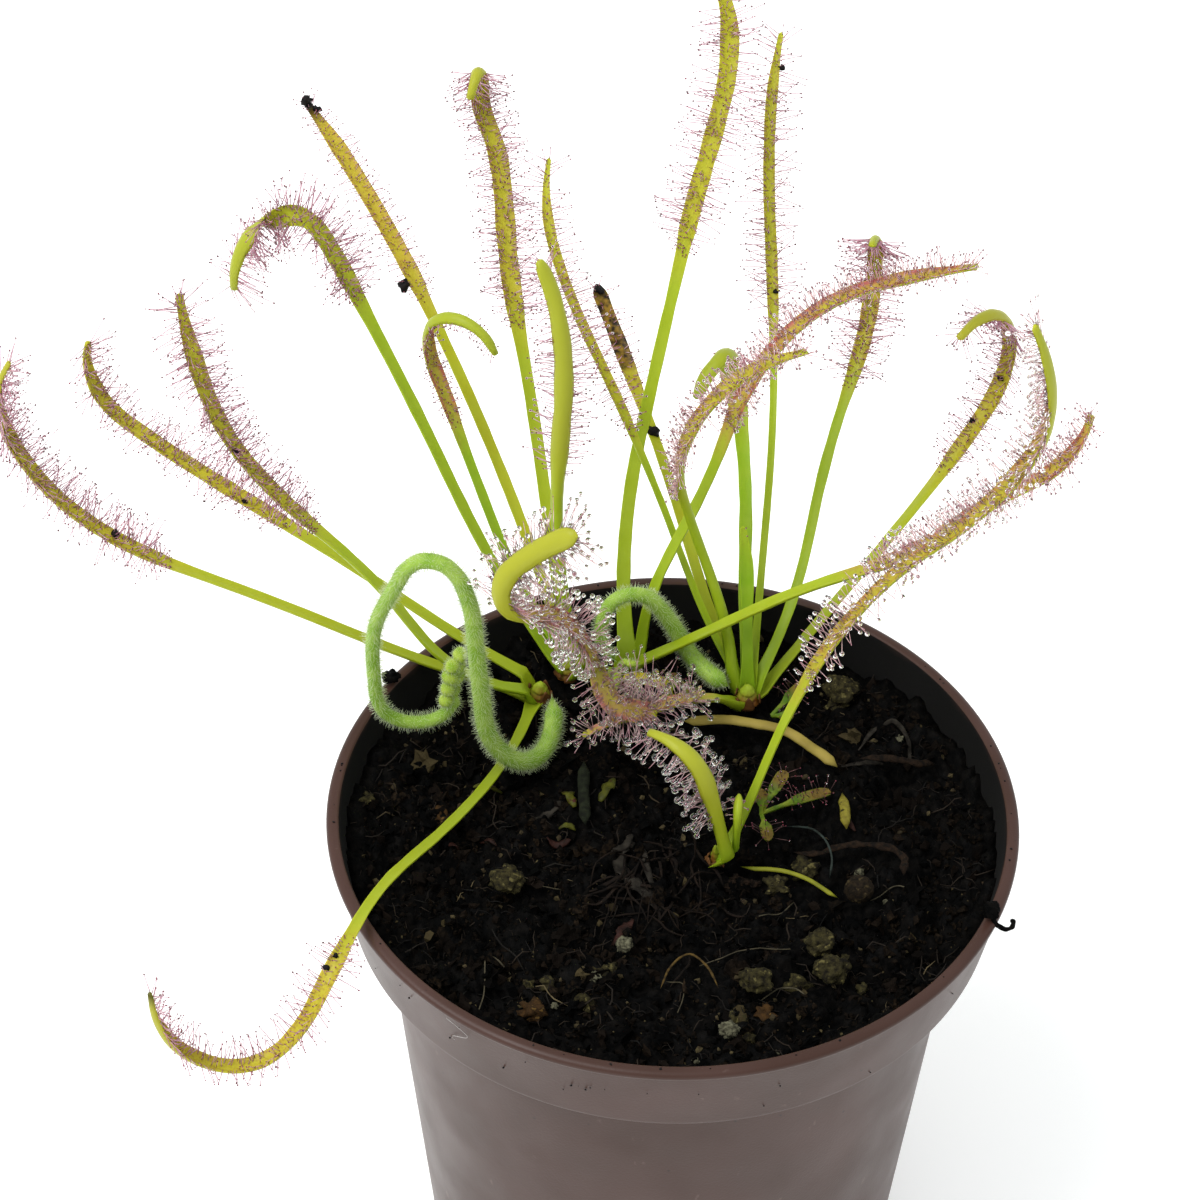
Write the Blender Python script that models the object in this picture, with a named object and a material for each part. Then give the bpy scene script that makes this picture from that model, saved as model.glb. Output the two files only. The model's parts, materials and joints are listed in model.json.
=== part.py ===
"""A Cape sundew in a brown plastic nursery pot.

The origin is the centre of the pot's underside, +Z is up and -Y is the front.
Shapes are worked out in millimetres and turned into metres in add_object().
Run it with: blender --background --python part.py
"""
import math
from collections import namedtuple

import bmesh
import bpy
from mathutils import Matrix, Vector, noise
from mathutils.bvhtree import BVHTree

# ---------------------------------------------------------------- driving dimensions, mm
GAP = 0.35                # clear space between pieces that touch
METRES_PER_MM = 0.001

RIM_RADIUS = 45.0         # a 9 cm nursery pot
POT_HEIGHT = 80.0
LIP_WIDTH = 1.7
COLLAR_HEIGHT = 12.5
COLLAR_FOOT_RADIUS = 42.4
STEP_RADIUS = 38.1        # body radius just under the collar
BODY_TAPER = 0.097        # mm of radius lost for each mm of height
WALL = 1.2
FLOOR_THICKNESS = 1.6
FOOT_DEPTH = 1.2          # the drain channel under the pot stands this far off the table
CHANNEL_RADII = (12.0, 24.0)
DRAIN_HOLES = 8
DRAIN_HOLE_RADIUS = 2.6
POT_SEGMENTS = 48

SOIL_LEVEL = 74.0         # middle of the surface
SOIL_RISE = 0.02          # the surface climbs a little towards the front
SOIL_BUMP = 1.76
SOIL_BUMP_SIZE = 13.0
SOIL_EDGE_START = 36.0    # past this radius the surface drops by 0.8 towards the wall
SOIL_EDGE_WIDTH = 6.0
SOIL_EDGE_DROP = 0.8
SOIL_RINGS = 11
SOIL_SECTORS = 44

CROWN_RADIUS = 2.0
SHEATHS = 3               # rings of old leaf bases round a crown
LUMPINESS = 0.28          # share of its radius that a grain's knobs stand out
ROOT_RADIUS = 2.65        # the leaves leave their crown this far from its middle
CROWN_HEIGHT = 5.0
SIDES = 8                 # points round a leaf or a stem
PETIOLE_STEP = 5.4        # spacing of the cross-sections
BLADE_STEP = 2.7
PETIOLE_WIDTH = 1.7
PETIOLE_THICKNESS = 0.85
BLADE_WIDTH = 2.7
BLADE_THICKNESS = 0.75
BLADE_CHANNEL = 0.38      # how far the edges of a blade stand above its midrib
BULB_RADIUS = 0.8         # the heart of a plantlet
LEAF_TIP = 0.35           # how far the rounded tip reaches past the last cross-section
SCAPE_RADIUS = 1.05

# Each crown: where it stands on the soil (x, y).
CROWNS = {
    "left": (-18.5, 26.0),
    "back_left": (-15.0, 31.0),
    "middle": (-7.5, 31.0),
    "right": (9.5, 27.0),
    "front": (5.7, -3.0),
}

# A leaf grows out of its crown as a chain of arcs. root is the side of the crown that it
# leaves (degrees from +X) and its height up the crown. Each bend is a direction, as heading
# and rise in degrees: rise 90 is straight up, and past 90 the leaf folds back over its upper
# face. The bends are evenly spaced along the stalk, and then evenly along the blade.
Leaf = namedtuple("Leaf", "name crown root stalk stalk_bends blade blade_bends width")

LEAVES = [
    Leaf("leaf_far_left", "left", (188, 2.0), 51, [(181, 21), (179, 27), (181, 24)],
         41, [(171, 39), (161, 64), (190, 121)], 1.0),
    Leaf("leaf_left_low", "left", (150, 3.9), 37, [(163, 21), (155, 21), (157, 18)],
         41, [(155, 17), (158, 27), (142, 110)], 1.0),
    Leaf("leaf_left_raised", "left", (226, 4.0), 39, [(203, 22), (163, 55), (167, 37)],
         37, [(161, 49), (135, 64), (110, 62)], 1.0),
    Leaf("leaf_left_arched", "back_left", (172, 3.2), 56, [(-31, 132), (-40, 124), (-37, 127)],
         29, [(-28, 126), (20, 224), (48, 273)], 1.0),
    Leaf("leaf_back_left_old", "back_left", (106, 4.2), 51, [(118, 43), (120, 35), (123, 30)],
         33, [(126, 29), (129, 28), (134, 29)], 1.0),
    Leaf("leaf_unrolling", "back_left", (140, 5.6), 32, [(140, 38), (128, 51), (128, 53)],
         28, [(133, 55), (152, 99), (153, 176), (150, 248)], 0.9),
    Leaf("leaf_back_hooked", "back_left", (88, 1.8), 45, [(107, 47), (104, 46), (108, 45)],
         42, [(103, 45), (98, 44), (103, 44), (124, 36), (98, 95), (62, 260)], 1.1),
    Leaf("leaf_near_upright", "back_left", (-40, 4.3), 30, [(-27, 113), (-52, 98), (-98, 101)],
         31, [(-105, 103), (-68, 111), (-38, 129)], 1.2),
    Leaf("leaf_back_kinked", "right", (124, 3.0), 36, [(136, 43), (126, 52), (131, 48)],
         39, [(132, 46), (117, 43), (80, 46)], 0.8),
    Leaf("leaf_browned", "right", (114, 1.4), 43, [(122, 36), (112, 36), (118, 32)],
         16, [(115, 29), (115, 30)], 0.95),
    Leaf("leaf_tallest", "middle", (85, 4.6), 54, [(-80, 131), (-108, 126), (-111, 123)],
         39, [(-116, 124), (-108, 129), (-82, 131), (-46, 135)], 1.25),
    Leaf("leaf_back_slender", "right", (76, 4.5), 46, [(86, 42), (86, 41), (94, 41)],
         41, [(96, 41), (90, 43), (77, 46)], 0.75),
    Leaf("leaf_balled", "right", (56, 3.2), 42, [(56, 38), (78, 42), (68, 36)],
         28, [(76, 34), (83, 60), (83, 114), (80, 172)], 0.95),
    Leaf("leaf_right_arched", "middle", (30, 5.2), 34, [(50, 86), (44, 50), (54, 59)],
         42, [(28, 43), (4, 18), (1, 12)], 1.0),
    Leaf("leaf_dewy_short", "right", (138, 4.8), 28, [(104, 66), (143, 66), (175, 77)],
         29, [(204, 111), (200, 148), (191, 169)], 1.0),
    Leaf("leaf_crozier", "right", (88, 2.4), 36, [(98, 36), (90, 36), (100, 32)],
         20, [(124, 51), (53, 185), (44, 254)], 0.9),
    Leaf("leaf_right_curled", "right", (42, 1.2), 39, [(47, 28), (45, 29), (46, 32)],
         38, [(47, 40), (44, 85), (51, 135), (50, 205)], 0.95),
    Leaf("leaf_right_low", "middle", (-25, 5.2), 34, [(-7, 38), (8, 30), (4, 19)],
         38, [(19, 34), (10, 27), (30, 82)], 1.05),
    Leaf("leaf_front_long", "front", (40, 3.0), 24, [(40, 61), (46, 64), (36, 57)],
         64, [(22, 50), (12, 36), (22, 49), (2, 91), (-20, 117)], 1.0),
    Leaf("leaf_over_rim", "left", (-110, 1.5), 55, [(-103, -2), (-115, 8), (-118, 16), (-106, -1)],
         43, [(-128, -52), (-160, -42), (-173, 25), (-169, 68), (-150, 90)], 1.0),
    Leaf("leaf_nearest", "middle", (-110, 5.0), 33, [(-89, 6), (-116, 75), (-124, 55)],
         32, [(-138, 21), (-172, 132), (-194, 145)], 1.1),
    Leaf("leaf_short_drooping", "right", (225, 2.6), 10, [(236, 50), (215, 20)],
         16, [(210, 0), (201, -3), (192, -37)], 1.0),
    Leaf("leaf_front_broad", "front", (-55, 3.8), 8, [(-26, 108), (-34, 104)],
         15, [(-33, 111), (-27, 134), (-33, 175), (-39, 200)], 1.25),
    Leaf("leaf_front_crozier", "front", (-14, 4.0), 5, [(-80, 74), (-90, 90)],
         6, [(-92, 130), (-92, 200), (-92, 262)], 0.55),
    Leaf("leaf_young_upright", "right", (94, 6.2), 8, [(95, 62), (96, 62)],
         10, [(100, 60), (106, 57)], 0.85),
]

# Flower stalks: same rule as a leaf, one bend for every stretch of the given length.
Scape = namedtuple("Scape", "name crown root step bends")
SCAPES = [
    Scape("flower_scape_left", "left", (-50, 3.0), 8.5,
          [(-76, -12), (-108, -4), (-160, 50), (-172, 86), (-167, 85), (-163, 87), (-189, 67),
           (-188, -66), (-208, -68), (-193, -90), (-170, -95), (-176, -189), (-171, -285)]),
    Scape("flower_scape_right", "right", (176, 3.2), 4.4,
          [(152, 13), (136, 10), (160, 66), (195, 63), (193, 59), (195, 1), (209, -73), (173, -95),
           (158, -144)]),
]

# Things that lie on the soil, each a route of (x, y) seen from above with its thickness.
Stalk = namedtuple("Stalk", "name colour route width thickness lift")
LYING = [
    Stalk("cut_leaf_stalk", "tan_stalk",
          [(1, 21.6), (5, 21.8), (9, 21.5), (14, 20.2), (18.3, 16.8), (21.6, 13.2)], 1.9, 1.2, 0.8),
    Stalk("shed_leaf_stalk", "petiole_yellow", [(9, -3.9), (14.4, -4.6), (18.3, -6.4), (21.8, -8.8)],
          1.0, 0.8, 0.4),
    Stalk("dead_leaf_stem", "dead_brown", [(-12, 12.5), (-11.8, 7), (-11.4, 1.5)], 1.7, 1.2, 0.0),
    Stalk("dry_spotted_stick", "tan_stalk", [(22.2, 8.6), (22.6, 5.2), (22.8, 2.2)], 1.4, 1.0, 0.2),
    Stalk("dead_leaf_right", "dead_brown", [(24.4, 15.2), (28, 15.5), (32, 15.6), (35, 16.4)],
          1.4, 0.7, 0.3),
    Stalk("dead_leaf_front", "dead_brown",
          [(15.8, -0.4), (19, -0.9), (23, -0.2), (29.6, -1.4), (30.2, -5.6)], 1.5, 0.7, 0.0),
    Stalk("grey_root", "root_grey",
          [(14.8, 4.4), (17.9, 2.8), (20.2, -0.7), (20.9, -3.2), (20.6, -5.2)], 0.6, 0.5, 1.9),
    Stalk("root_loop", "root_tan",
          [(-0.8, -26.3), (0.4, -22), (2.8, -19.9), (5.3, -22.3), (6.6, -25.9)], 0.6, 0.5, 0.2),
]

# Grains on the soil: (x, y, radius).
PUMICE = [(19.4, -19, 2.0), (20.7, -23.4, 2.1), (11.3, -26, 1.9), (-21, -10, 2.0), (22, 28, 2.2)]
PERLITE = [(-5.5, -20, 1.1), (8, -34, 1.2)]

# Plantlets in the soil: where each stands, and its leaves as (heading, length, rise).
PLANTLETS = {
    "seedling": ((11.6, 5.6),
                 [(18, 9.5, 17), (65, 6.0, 28), (95, 3.0, 65), (-78, 4.4, 6), (150, 2.6, 45)]),
    "rosette": ((-1.0, 26.0), [(10, 4.2, 12), (80, 3.6, 30), (-60, 3.4, 50), (145, 3.4, 40)]),
    "side_plantlet": ((12.8, 23.6), [(48, 6.5, 20), (-20, 3.0, 25), (175, 2.2, 40)]),
}

# The withered leaf at the end of its shed stalk: (x, y, radius).
DRY_BALL = (24.4, -8.9, 2.1)

# Crumbs of soil on the lip, as (angle round the rim, radius), and the root beside the first.
RIM_CRUMBS = {"rim_crumb_right": (-22, 1.2), "rim_crumb_back": (150, 1.15)}
ROOT_LOOP_RADIUS = 1.3
ROOT_LOOP_TURN = 250      # degrees of a circle
ROOT_LOOP_THICKNESS = 0.64

# The bud cluster at the end of each flower stalk: (radius, length).
BUDS = {"left": (1.9, 5.5), "right": (1.0, 2.6)}

COLOURS = {
    "pot_brown": ("6A4A3F", 0.45),
    "peat": ("1E1812", 0.95),
    "petiole_green": ("A3C22B", 0.45),
    "petiole_yellow": ("C4CC3E", 0.5),
    "blade_green": ("B2B62F", 0.5),
    "blade_brown": ("7A5A26", 0.6),
    "scape_green": ("9CCB3F", 0.55),
    "bud_green": ("B9D65A", 0.55),
    "sheath_green": ("7C8F1C", 0.6),
    "tan_stalk": ("B7A45A", 0.6),
    "dead_brown": ("4A3626", 0.85),
    "root_grey": ("6E6C62", 0.8),
    "root_tan": ("8A7440", 0.8),
    "pumice": ("7D6B45", 0.9),
    "perlite": ("C9CBC2", 0.9),
}


# ---------------------------------------------------------------- helpers
def linear(hex_colour):
    """An sRGB hex colour as the linear RGBA that a shader socket takes."""
    channels = [int(hex_colour[i:i + 2], 16) / 255 for i in (0, 2, 4)]
    return [c / 12.92 if c <= 0.04045 else ((c + 0.055) / 1.055) ** 2.4 for c in channels] + [1.0]


def material(name):
    """The Principled material called name, made the first time that it is asked for."""
    if name not in bpy.data.materials:
        colour, roughness = COLOURS[name]
        made = bpy.data.materials.new(name)
        made.use_nodes = True
        shader = made.node_tree.nodes["Principled BSDF"]
        shader.inputs["Base Color"].default_value = linear(colour)
        shader.inputs["Roughness"].default_value = roughness
        made.diffuse_color = linear(colour)
    return bpy.data.materials[name]


def add_object(name, bm, material_name, smooth=True):
    """Turn a bmesh in millimetres into a named object in metres."""
    bmesh.ops.recalc_face_normals(bm, faces=bm.faces)
    bmesh.ops.scale(bm, vec=Vector((1, 1, 1)) * METRES_PER_MM, verts=bm.verts)
    mesh = bpy.data.meshes.new(name)
    bm.to_mesh(mesh)
    bm.free()
    mesh.materials.append(material(material_name))
    if smooth:
        mesh.shade_smooth()
        mesh.set_sharp_from_angle(angle=math.radians(40))
    made = bpy.data.objects.new(name, mesh)
    bpy.context.collection.objects.link(made)
    return made


def polar(radius, degrees, z=0.0):
    """The point at this radius and angle round the +Z axis."""
    angle = math.radians(degrees)
    return Vector((radius * math.cos(angle), radius * math.sin(angle), z))


def direction(heading, rise):
    """Unit vector along a heading (degrees from +X) and a rise above the horizontal."""
    return polar(math.cos(math.radians(rise)), heading, math.sin(math.radians(rise)))


def turned(bm, profile, segments):
    """Turn a profile of (radius, z) points, which starts and ends on the axis, round +Z."""
    verts = [bm.verts.new((radius, 0, z)) for radius, z in profile]
    edges = [bm.edges.new(pair) for pair in zip(verts, verts[1:])]
    bmesh.ops.spin(bm, geom=verts + edges, cent=(0, 0, 0), axis=(0, 0, 1),
                   angle=math.tau, steps=segments, use_merge=True)
    bmesh.ops.remove_doubles(bm, verts=bm.verts, dist=0.001)


def loft(bm, start, rings, end):
    """Skin a run of rings of points, and close it with a point at each end."""
    rows = [[bm.verts.new(point) for point in ring] for ring in rings]
    for row, following in zip(rows, rows[1:]):
        for i in range(len(row)):
            j = (i + 1) % len(row)
            bm.faces.new((row[i], row[j], following[j], following[i]))
    for tip, row in ((start, rows[0]), (end, rows[-1])):
        point = bm.verts.new(tip)
        for i in range(len(row)):
            bm.faces.new((point, row[i], row[(i + 1) % len(row)]))


# ---------------------------------------------------------------- growth
def grow(start, stretches):
    """Follow a chain of arcs. Each stretch is (length, step, from_bend, to_bend), and a bend is
    (heading, rise). Returns stations of (distance, point, forward, up)."""
    point = start.copy()
    travelled = 0.0
    stations = []
    for length, step, first, last in stretches:
        count = max(2, round(length / step))
        for i in range(count):
            share = (i + 0.5) / count
            heading = first[0] + (last[0] - first[0]) * share
            rise = first[1] + (last[1] - first[1]) * share
            if not stations:
                stations.append((0.0, point.copy(), direction(*first),
                                 direction(first[0], first[1] + 90)))
            point += direction(heading, rise) * (length / count)
            travelled += length / count
            share = (i + 1) / count
            heading = first[0] + (last[0] - first[0]) * share
            rise = first[1] + (last[1] - first[1]) * share
            stations.append((travelled, point.copy(), direction(heading, rise),
                             direction(heading, rise + 90)))
    return stations


def spread(length, step, bends):
    """Share a length evenly over the arcs between these bends."""
    arcs = len(bends) - 1
    return [(length / arcs, step, a, b) for a, b in zip(bends, bends[1:])]


def strap_ring(point, forward, up, width, thickness, channel):
    """A cross-section of a leaf: a strap with raised edges, open upwards like a gutter."""
    side = forward.cross(up).normalized()
    across = [-1.0, -0.55, 0.0, 0.55, 1.0]
    top = [(x, channel * x * x) for x in across]
    bottom = [(x, channel * x * x - thickness * math.sqrt(1 - x * x)) for x in across[-2:0:-1]]
    return [point + side * (x * width / 2) + up * z for x, z in top + bottom]


def round_ring(point, forward, up, radius, count=SIDES, half_height=None):
    """A round cross-section, or an oval one where half_height is given."""
    side = forward.cross(up).normalized() * radius
    rise = up * (half_height or radius)
    turns = [math.tau * i / count for i in range(count)]
    return [point + side * math.cos(t) + rise * math.sin(t) for t in turns]


def blend(a, b, share):
    """Ease from a to b as share goes from 0 to 1."""
    share = min(max(share, 0.0), 1.0)
    return a + (b - a) * share * share * (3 - 2 * share)


def leaf_section(along, leaf):
    """Width, thickness and channel of a leaf at a distance along it."""
    total = leaf.stalk + leaf.blade
    widening = (along - leaf.stalk + 3.0) / 7.0
    narrowing = (total - along) / min(9.0, leaf.blade * 0.6)
    sheath = blend(1.2, 1.0, along / 7.0)
    width = blend(PETIOLE_WIDTH * sheath, BLADE_WIDTH, widening) * blend(0.45, 1.0, narrowing)
    thickness = blend(PETIOLE_THICKNESS, BLADE_THICKNESS, widening) * blend(0.65, 1.0, narrowing)
    channel = blend(0.12, BLADE_CHANNEL, widening) * blend(0.2, 1.0, narrowing)
    return width * leaf.width, thickness * math.sqrt(leaf.width), channel


def crown_point(crown, root):
    """Where a stem leaves its crown. root is (angle round the crown, height above the soil)."""
    x, y = CROWNS[crown]
    angle, height = root
    return Vector((x, y, ground(x, y) + height)) + polar(ROOT_RADIUS, angle)


def build_leaf(leaf):
    """One leaf: a narrow stalk that widens into a blade with a shallow channel."""
    start = crown_point(leaf.crown, leaf.root)
    stretches = spread(leaf.stalk, PETIOLE_STEP, leaf.stalk_bends)
    stretches += spread(leaf.blade, BLADE_STEP, [leaf.stalk_bends[-1]] + leaf.blade_bends)
    stations = grow(start, stretches)
    rings = []
    for along, point, forward, up in stations:
        rings.append(strap_ring(point, forward, up, *leaf_section(along, leaf)))
    tip = stations[-1][1] + stations[-1][2] * LEAF_TIP
    bm = bmesh.new()
    loft(bm, stations[0][1], rings, tip)
    add_object(leaf.name, bm, "blade_brown" if leaf.name == "leaf_browned" else "petiole_green")


def build_scape(scape):
    """One flower stalk, tapering to its curled end. Returns its stations."""
    start = crown_point(scape.crown, scape.root)
    length = scape.step * (len(scape.bends) - 1)
    stations = grow(start, spread(length, scape.step / 3, scape.bends))
    rings = []
    for along, point, forward, up in stations[1:-1]:
        radius = SCAPE_RADIUS * blend(1.0, 0.7, along / length) * blend(0.6, 1.0, (length - along) / 3)
        rings.append(round_ring(point, forward, up, radius))
    bm = bmesh.new()
    loft(bm, stations[0][1], rings, stations[-1][1])
    add_object(scape.name, bm, "scape_green")
    return stations


# ---------------------------------------------------------------- pot and soil
def body_radius(z):
    """Outer radius of the pot's body at a height."""
    return STEP_RADIUS - BODY_TAPER * (POT_HEIGHT - COLLAR_HEIGHT - z)


def build_pot():
    """The pot: a turned wall with a stepped collar and a foot, and drain holes in its floor."""
    shoulder = POT_HEIGHT - COLLAR_HEIGHT
    inner_lip = RIM_RADIUS - LIP_WIDTH
    floor = FOOT_DEPTH + FLOOR_THICKNESS
    channel_in, channel_out = CHANNEL_RADII
    outside = [
        (0, 0), (channel_in, 0), (channel_in + 0.6, FOOT_DEPTH), (channel_out - 0.6, FOOT_DEPTH),
        (channel_out, 0), (body_radius(0) - 0.9, 0), (body_radius(0) - 0.25, 0.3),
        (body_radius(1), 1.0), (body_radius(shoulder - 1), shoulder - 1.0),
        (STEP_RADIUS + 0.3, shoulder - 0.3), (STEP_RADIUS + 1.0, shoulder),
        (COLLAR_FOOT_RADIUS - 0.4, shoulder), (COLLAR_FOOT_RADIUS, shoulder + 0.4),
        (RIM_RADIUS - 0.45, POT_HEIGHT - 1.3), (RIM_RADIUS, POT_HEIGHT - 0.9),
        (RIM_RADIUS - 0.05, POT_HEIGHT - 0.45), (RIM_RADIUS - 0.5, POT_HEIGHT - 0.05),
        (RIM_RADIUS - 0.75, POT_HEIGHT),
    ]
    inside = [
        (inner_lip + 0.15, POT_HEIGHT), (inner_lip, POT_HEIGHT - 0.2),
        (COLLAR_FOOT_RADIUS - WALL, shoulder + 1.2), (COLLAR_FOOT_RADIUS - WALL - 0.4, shoulder + 0.6),
        (STEP_RADIUS - WALL + 0.5, shoulder - 0.6), (STEP_RADIUS - WALL, shoulder - 1.3),
        (body_radius(floor) - WALL - 0.2, floor + 0.9), (body_radius(floor) - WALL - 1.0, floor),
        (0, floor),
    ]
    bm = bmesh.new()
    turned(bm, outside + inside, POT_SEGMENTS)
    pot = add_object("pot", bm, "pot_brown")

    bm = bmesh.new()
    for i in range(DRAIN_HOLES):
        centre = polar((channel_in + channel_out) / 2, 360 * i / DRAIN_HOLES, floor / 2)
        bmesh.ops.create_cone(bm, cap_ends=True, segments=16, radius1=DRAIN_HOLE_RADIUS,
                              radius2=DRAIN_HOLE_RADIUS, depth=4 * floor,
                              matrix=Matrix.Translation(centre))
    cutter = add_object("drain_hole_cutter", bm, "pot_brown", smooth=False)
    cutter.hide_render = True
    cutter.display_type = "WIRE"
    cut = pot.modifiers.new("drain_holes", "BOOLEAN")
    cut.operation = "DIFFERENCE"
    cut.object = cutter


def soil_height(x, y):
    """Height of the soil's surface: peat pressed down by hand, lower at the wall."""
    bumps = noise.fractal(Vector((x, y, 7.3)) / SOIL_BUMP_SIZE, 1.0, 2.0, 2)
    edge = min(max((math.hypot(x, y) - SOIL_EDGE_START) / SOIL_EDGE_WIDTH, 0.0), 1.0)
    return SOIL_LEVEL - SOIL_RISE * y + SOIL_BUMP * bumps - SOIL_EDGE_DROP * edge


def build_soil():
    """The soil fills the pot, so its sides follow the pot's inner wall."""
    shoulder = POT_HEIGHT - COLLAR_HEIGHT
    floor = FOOT_DEPTH + FLOOR_THICKNESS + GAP
    wall = [
        (body_radius(floor) - WALL - 1.6, floor), (body_radius(floor) - WALL - GAP - 0.4, floor + 1.4),
        (STEP_RADIUS - WALL - GAP - 0.1, shoulder - 0.9),
        (COLLAR_FOOT_RADIUS - WALL - GAP - 0.2, shoulder + 1.6),
    ]
    top_radius = COLLAR_FOOT_RADIUS - WALL - GAP + 0.6
    bm = bmesh.new()

    def ring(radius, height):
        points = [polar(radius, 360 * i / SOIL_SECTORS) for i in range(SOIL_SECTORS)]
        return [(p.x, p.y, height(p.x, p.y)) for p in points]

    rings = [ring(radius, lambda x, y, z=z: z) for radius, z in wall]
    for i in range(SOIL_RINGS, 0, -1):
        rings.append(ring(top_radius * i / SOIL_RINGS, soil_height))
    loft(bm, (0, 0, floor), rings, (0, 0, soil_height(0, 0)))
    surface = BVHTree.FromBMesh(bm)
    add_object("soil", bm, "peat")
    return surface


def ground(x, y):
    """Height of the soil's own mesh at a point, in millimetres."""
    hit = SURFACE.ray_cast(Vector((x, y, POT_HEIGHT + 20)), Vector((0, 0, -1)))[0]
    return hit.z


def highest_ground(x, y, reach):
    """The highest that the soil stands under something that reaches this far round a point."""
    return max(ground(x + dx, y + dy) for dx in (-reach, 0, reach) for dy in (-reach, 0, reach))


def build_crown(name):
    """A crown: a short stem wrapped in the sheaths of shed leaves, wider at each sheath."""
    x, y = CROWNS[name]
    base = highest_ground(x, y, CROWN_RADIUS) + GAP
    profile = [(0, 0)]
    for i in range(SHEATHS):
        z = CROWN_HEIGHT * i / SHEATHS
        widest = CROWN_RADIUS - 0.1 * i
        profile += [(widest - 0.3, z + 0.1), (widest, z + 0.5),
                    (widest - 0.3, z + CROWN_HEIGHT / SHEATHS - 0.1)]
    profile += [(CROWN_RADIUS * 0.5, CROWN_HEIGHT + 0.8), (0, CROWN_HEIGHT + 1.2)]
    bm = bmesh.new()
    turned(bm, profile, 10)
    bmesh.ops.translate(bm, vec=(x, y, base), verts=bm.verts)
    add_object("crown_" + name, bm, "sheath_green")


# ---------------------------------------------------------------- small things
def smooth_route(route, spacing=1.6):
    """Points at an even spacing on a smooth curve through the route's own points."""
    points = [Vector((x, y, 0)) for x, y in route]
    points = [points[0] * 2 - points[1]] + points + [points[-1] * 2 - points[-2]]
    result = []
    for a, b, c, d in zip(points, points[1:], points[2:], points[3:]):
        count = max(2, round((c - b).length / spacing))
        for i in range(count):
            t = i / count
            result.append(0.5 * (2 * b + (c - a) * t + (2 * a - 5 * b + 4 * c - d) * t * t
                                 + (3 * b - a - 3 * c + d) * t ** 3))
    return result + [points[-2]]


def lie_down(route, width, thickness, lift):
    """Stations of a stalk that lies on the soil and arches up by lift between its ends."""
    points = smooth_route(route)
    for i, point in enumerate(points):
        arch = lift * math.sin(math.pi * i / (len(points) - 1))
        point.z = highest_ground(point.x, point.y, width / 2) + GAP + thickness / 2 + 0.1 + arch
    stations = []
    for i in range(1, len(points) - 1):
        forward = (points[i + 1] - points[i - 1]).normalized()
        up = forward.cross(Vector((0, 0, 1))).cross(forward).normalized()
        stations.append((points[i], forward, up))
    return points[0], stations, points[-1]


def build_lying(stalk):
    """One loose stalk, dead leaf or root on the soil."""
    start, stations, end = lie_down(stalk.route, stalk.width, stalk.thickness, stalk.lift)
    rings = []
    for point, forward, up in stations:
        rings.append(round_ring(point, forward, up, stalk.width / 2, 6, stalk.thickness / 2))
    bm = bmesh.new()
    loft(bm, start, rings, end)
    add_object(stalk.name, bm, stalk.colour)


def add_lump(name, material_name, x, y, radius, flatness, seed):
    """A rounded stone that sits on the soil."""
    bm = bmesh.new()
    rough_ball(bm, radius, flatness, seed)
    low = min(vert.co.z for vert in bm.verts)
    rest = highest_ground(x, y, radius * 0.7) + GAP
    bmesh.ops.translate(bm, vec=(x, y, rest - low), verts=bm.verts)
    add_object(name, bm, material_name)


def rough_ball(bm, radius, stretch, seed):
    """A knobbly ball round the origin, stretched along Z."""
    bmesh.ops.create_icosphere(bm, subdivisions=2, radius=radius)
    for vert in bm.verts:
        place = vert.co / radius * 1.3 + Vector((seed * 5.1, 0, 0))
        vert.co *= 1 + LUMPINESS * noise.noise(place)
        vert.co.z *= stretch


def join(base, pieces):
    """Join the pieces to the base in one solid, and hide the pieces themselves."""
    for piece in pieces:
        piece.hide_render = True
        piece.display_type = "WIRE"
        union = base.modifiers.new(piece.name, "BOOLEAN")
        union.operation = "UNION"
        union.object = piece


def build_plantlet(name, centre, leaves):
    """A seedling: a small bulb with short spoon-shaped leaves that grow out of it."""
    x, y = centre
    base = highest_ground(x, y, 1) + GAP
    bm = bmesh.new()
    bmesh.ops.create_uvsphere(bm, u_segments=8, v_segments=6, radius=BULB_RADIUS)
    bmesh.ops.translate(bm, vec=(x, y, base + BULB_RADIUS), verts=bm.verts)
    bulb = add_object(name, bm, "blade_green")
    pieces = []
    for i, (heading, length, rise) in enumerate(leaves):
        start = Vector((x, y, base + BULB_RADIUS + 0.1)) + polar(BULB_RADIUS * 0.4, heading)
        stations = grow(start, spread(length, 1.3, [(heading, rise), (heading, rise - 15)]))
        rings = []
        for along, point, forward, up in stations:
            swell = blend(0, 1, (along / length - 0.3) / 0.35) * blend(0.5, 1, (length - along) / 1.5)
            rings.append(strap_ring(point, forward, up, 0.6 + 1.3 * swell, 0.5, 0.1 + 0.15 * swell))
        bm = bmesh.new()
        loft(bm, stations[0][1], rings, stations[-1][1] + stations[-1][2] * 0.2)
        pieces.append(add_object(f"{name}_leaf_{i}", bm, "blade_green"))
    join(bulb, pieces)


def build_buds(name, stations, radius, length):
    """The cluster of flower buds at the end of a flower stalk."""
    point, forward, up = stations[-1][1:]
    bm = bmesh.new()
    rough_ball(bm, radius, length / (2 * radius), len(name))
    low = min(vert.co.z for vert in bm.verts)
    inward = (forward - up).normalized()
    turn = inward.to_track_quat("Z", "X").to_matrix().to_4x4()
    place = Matrix.Translation(point + inward * (SCAPE_RADIUS * 0.5 + GAP - low)) @ turn
    bmesh.ops.transform(bm, matrix=place, verts=bm.verts)
    add_object(name, bm, "bud_green")


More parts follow.
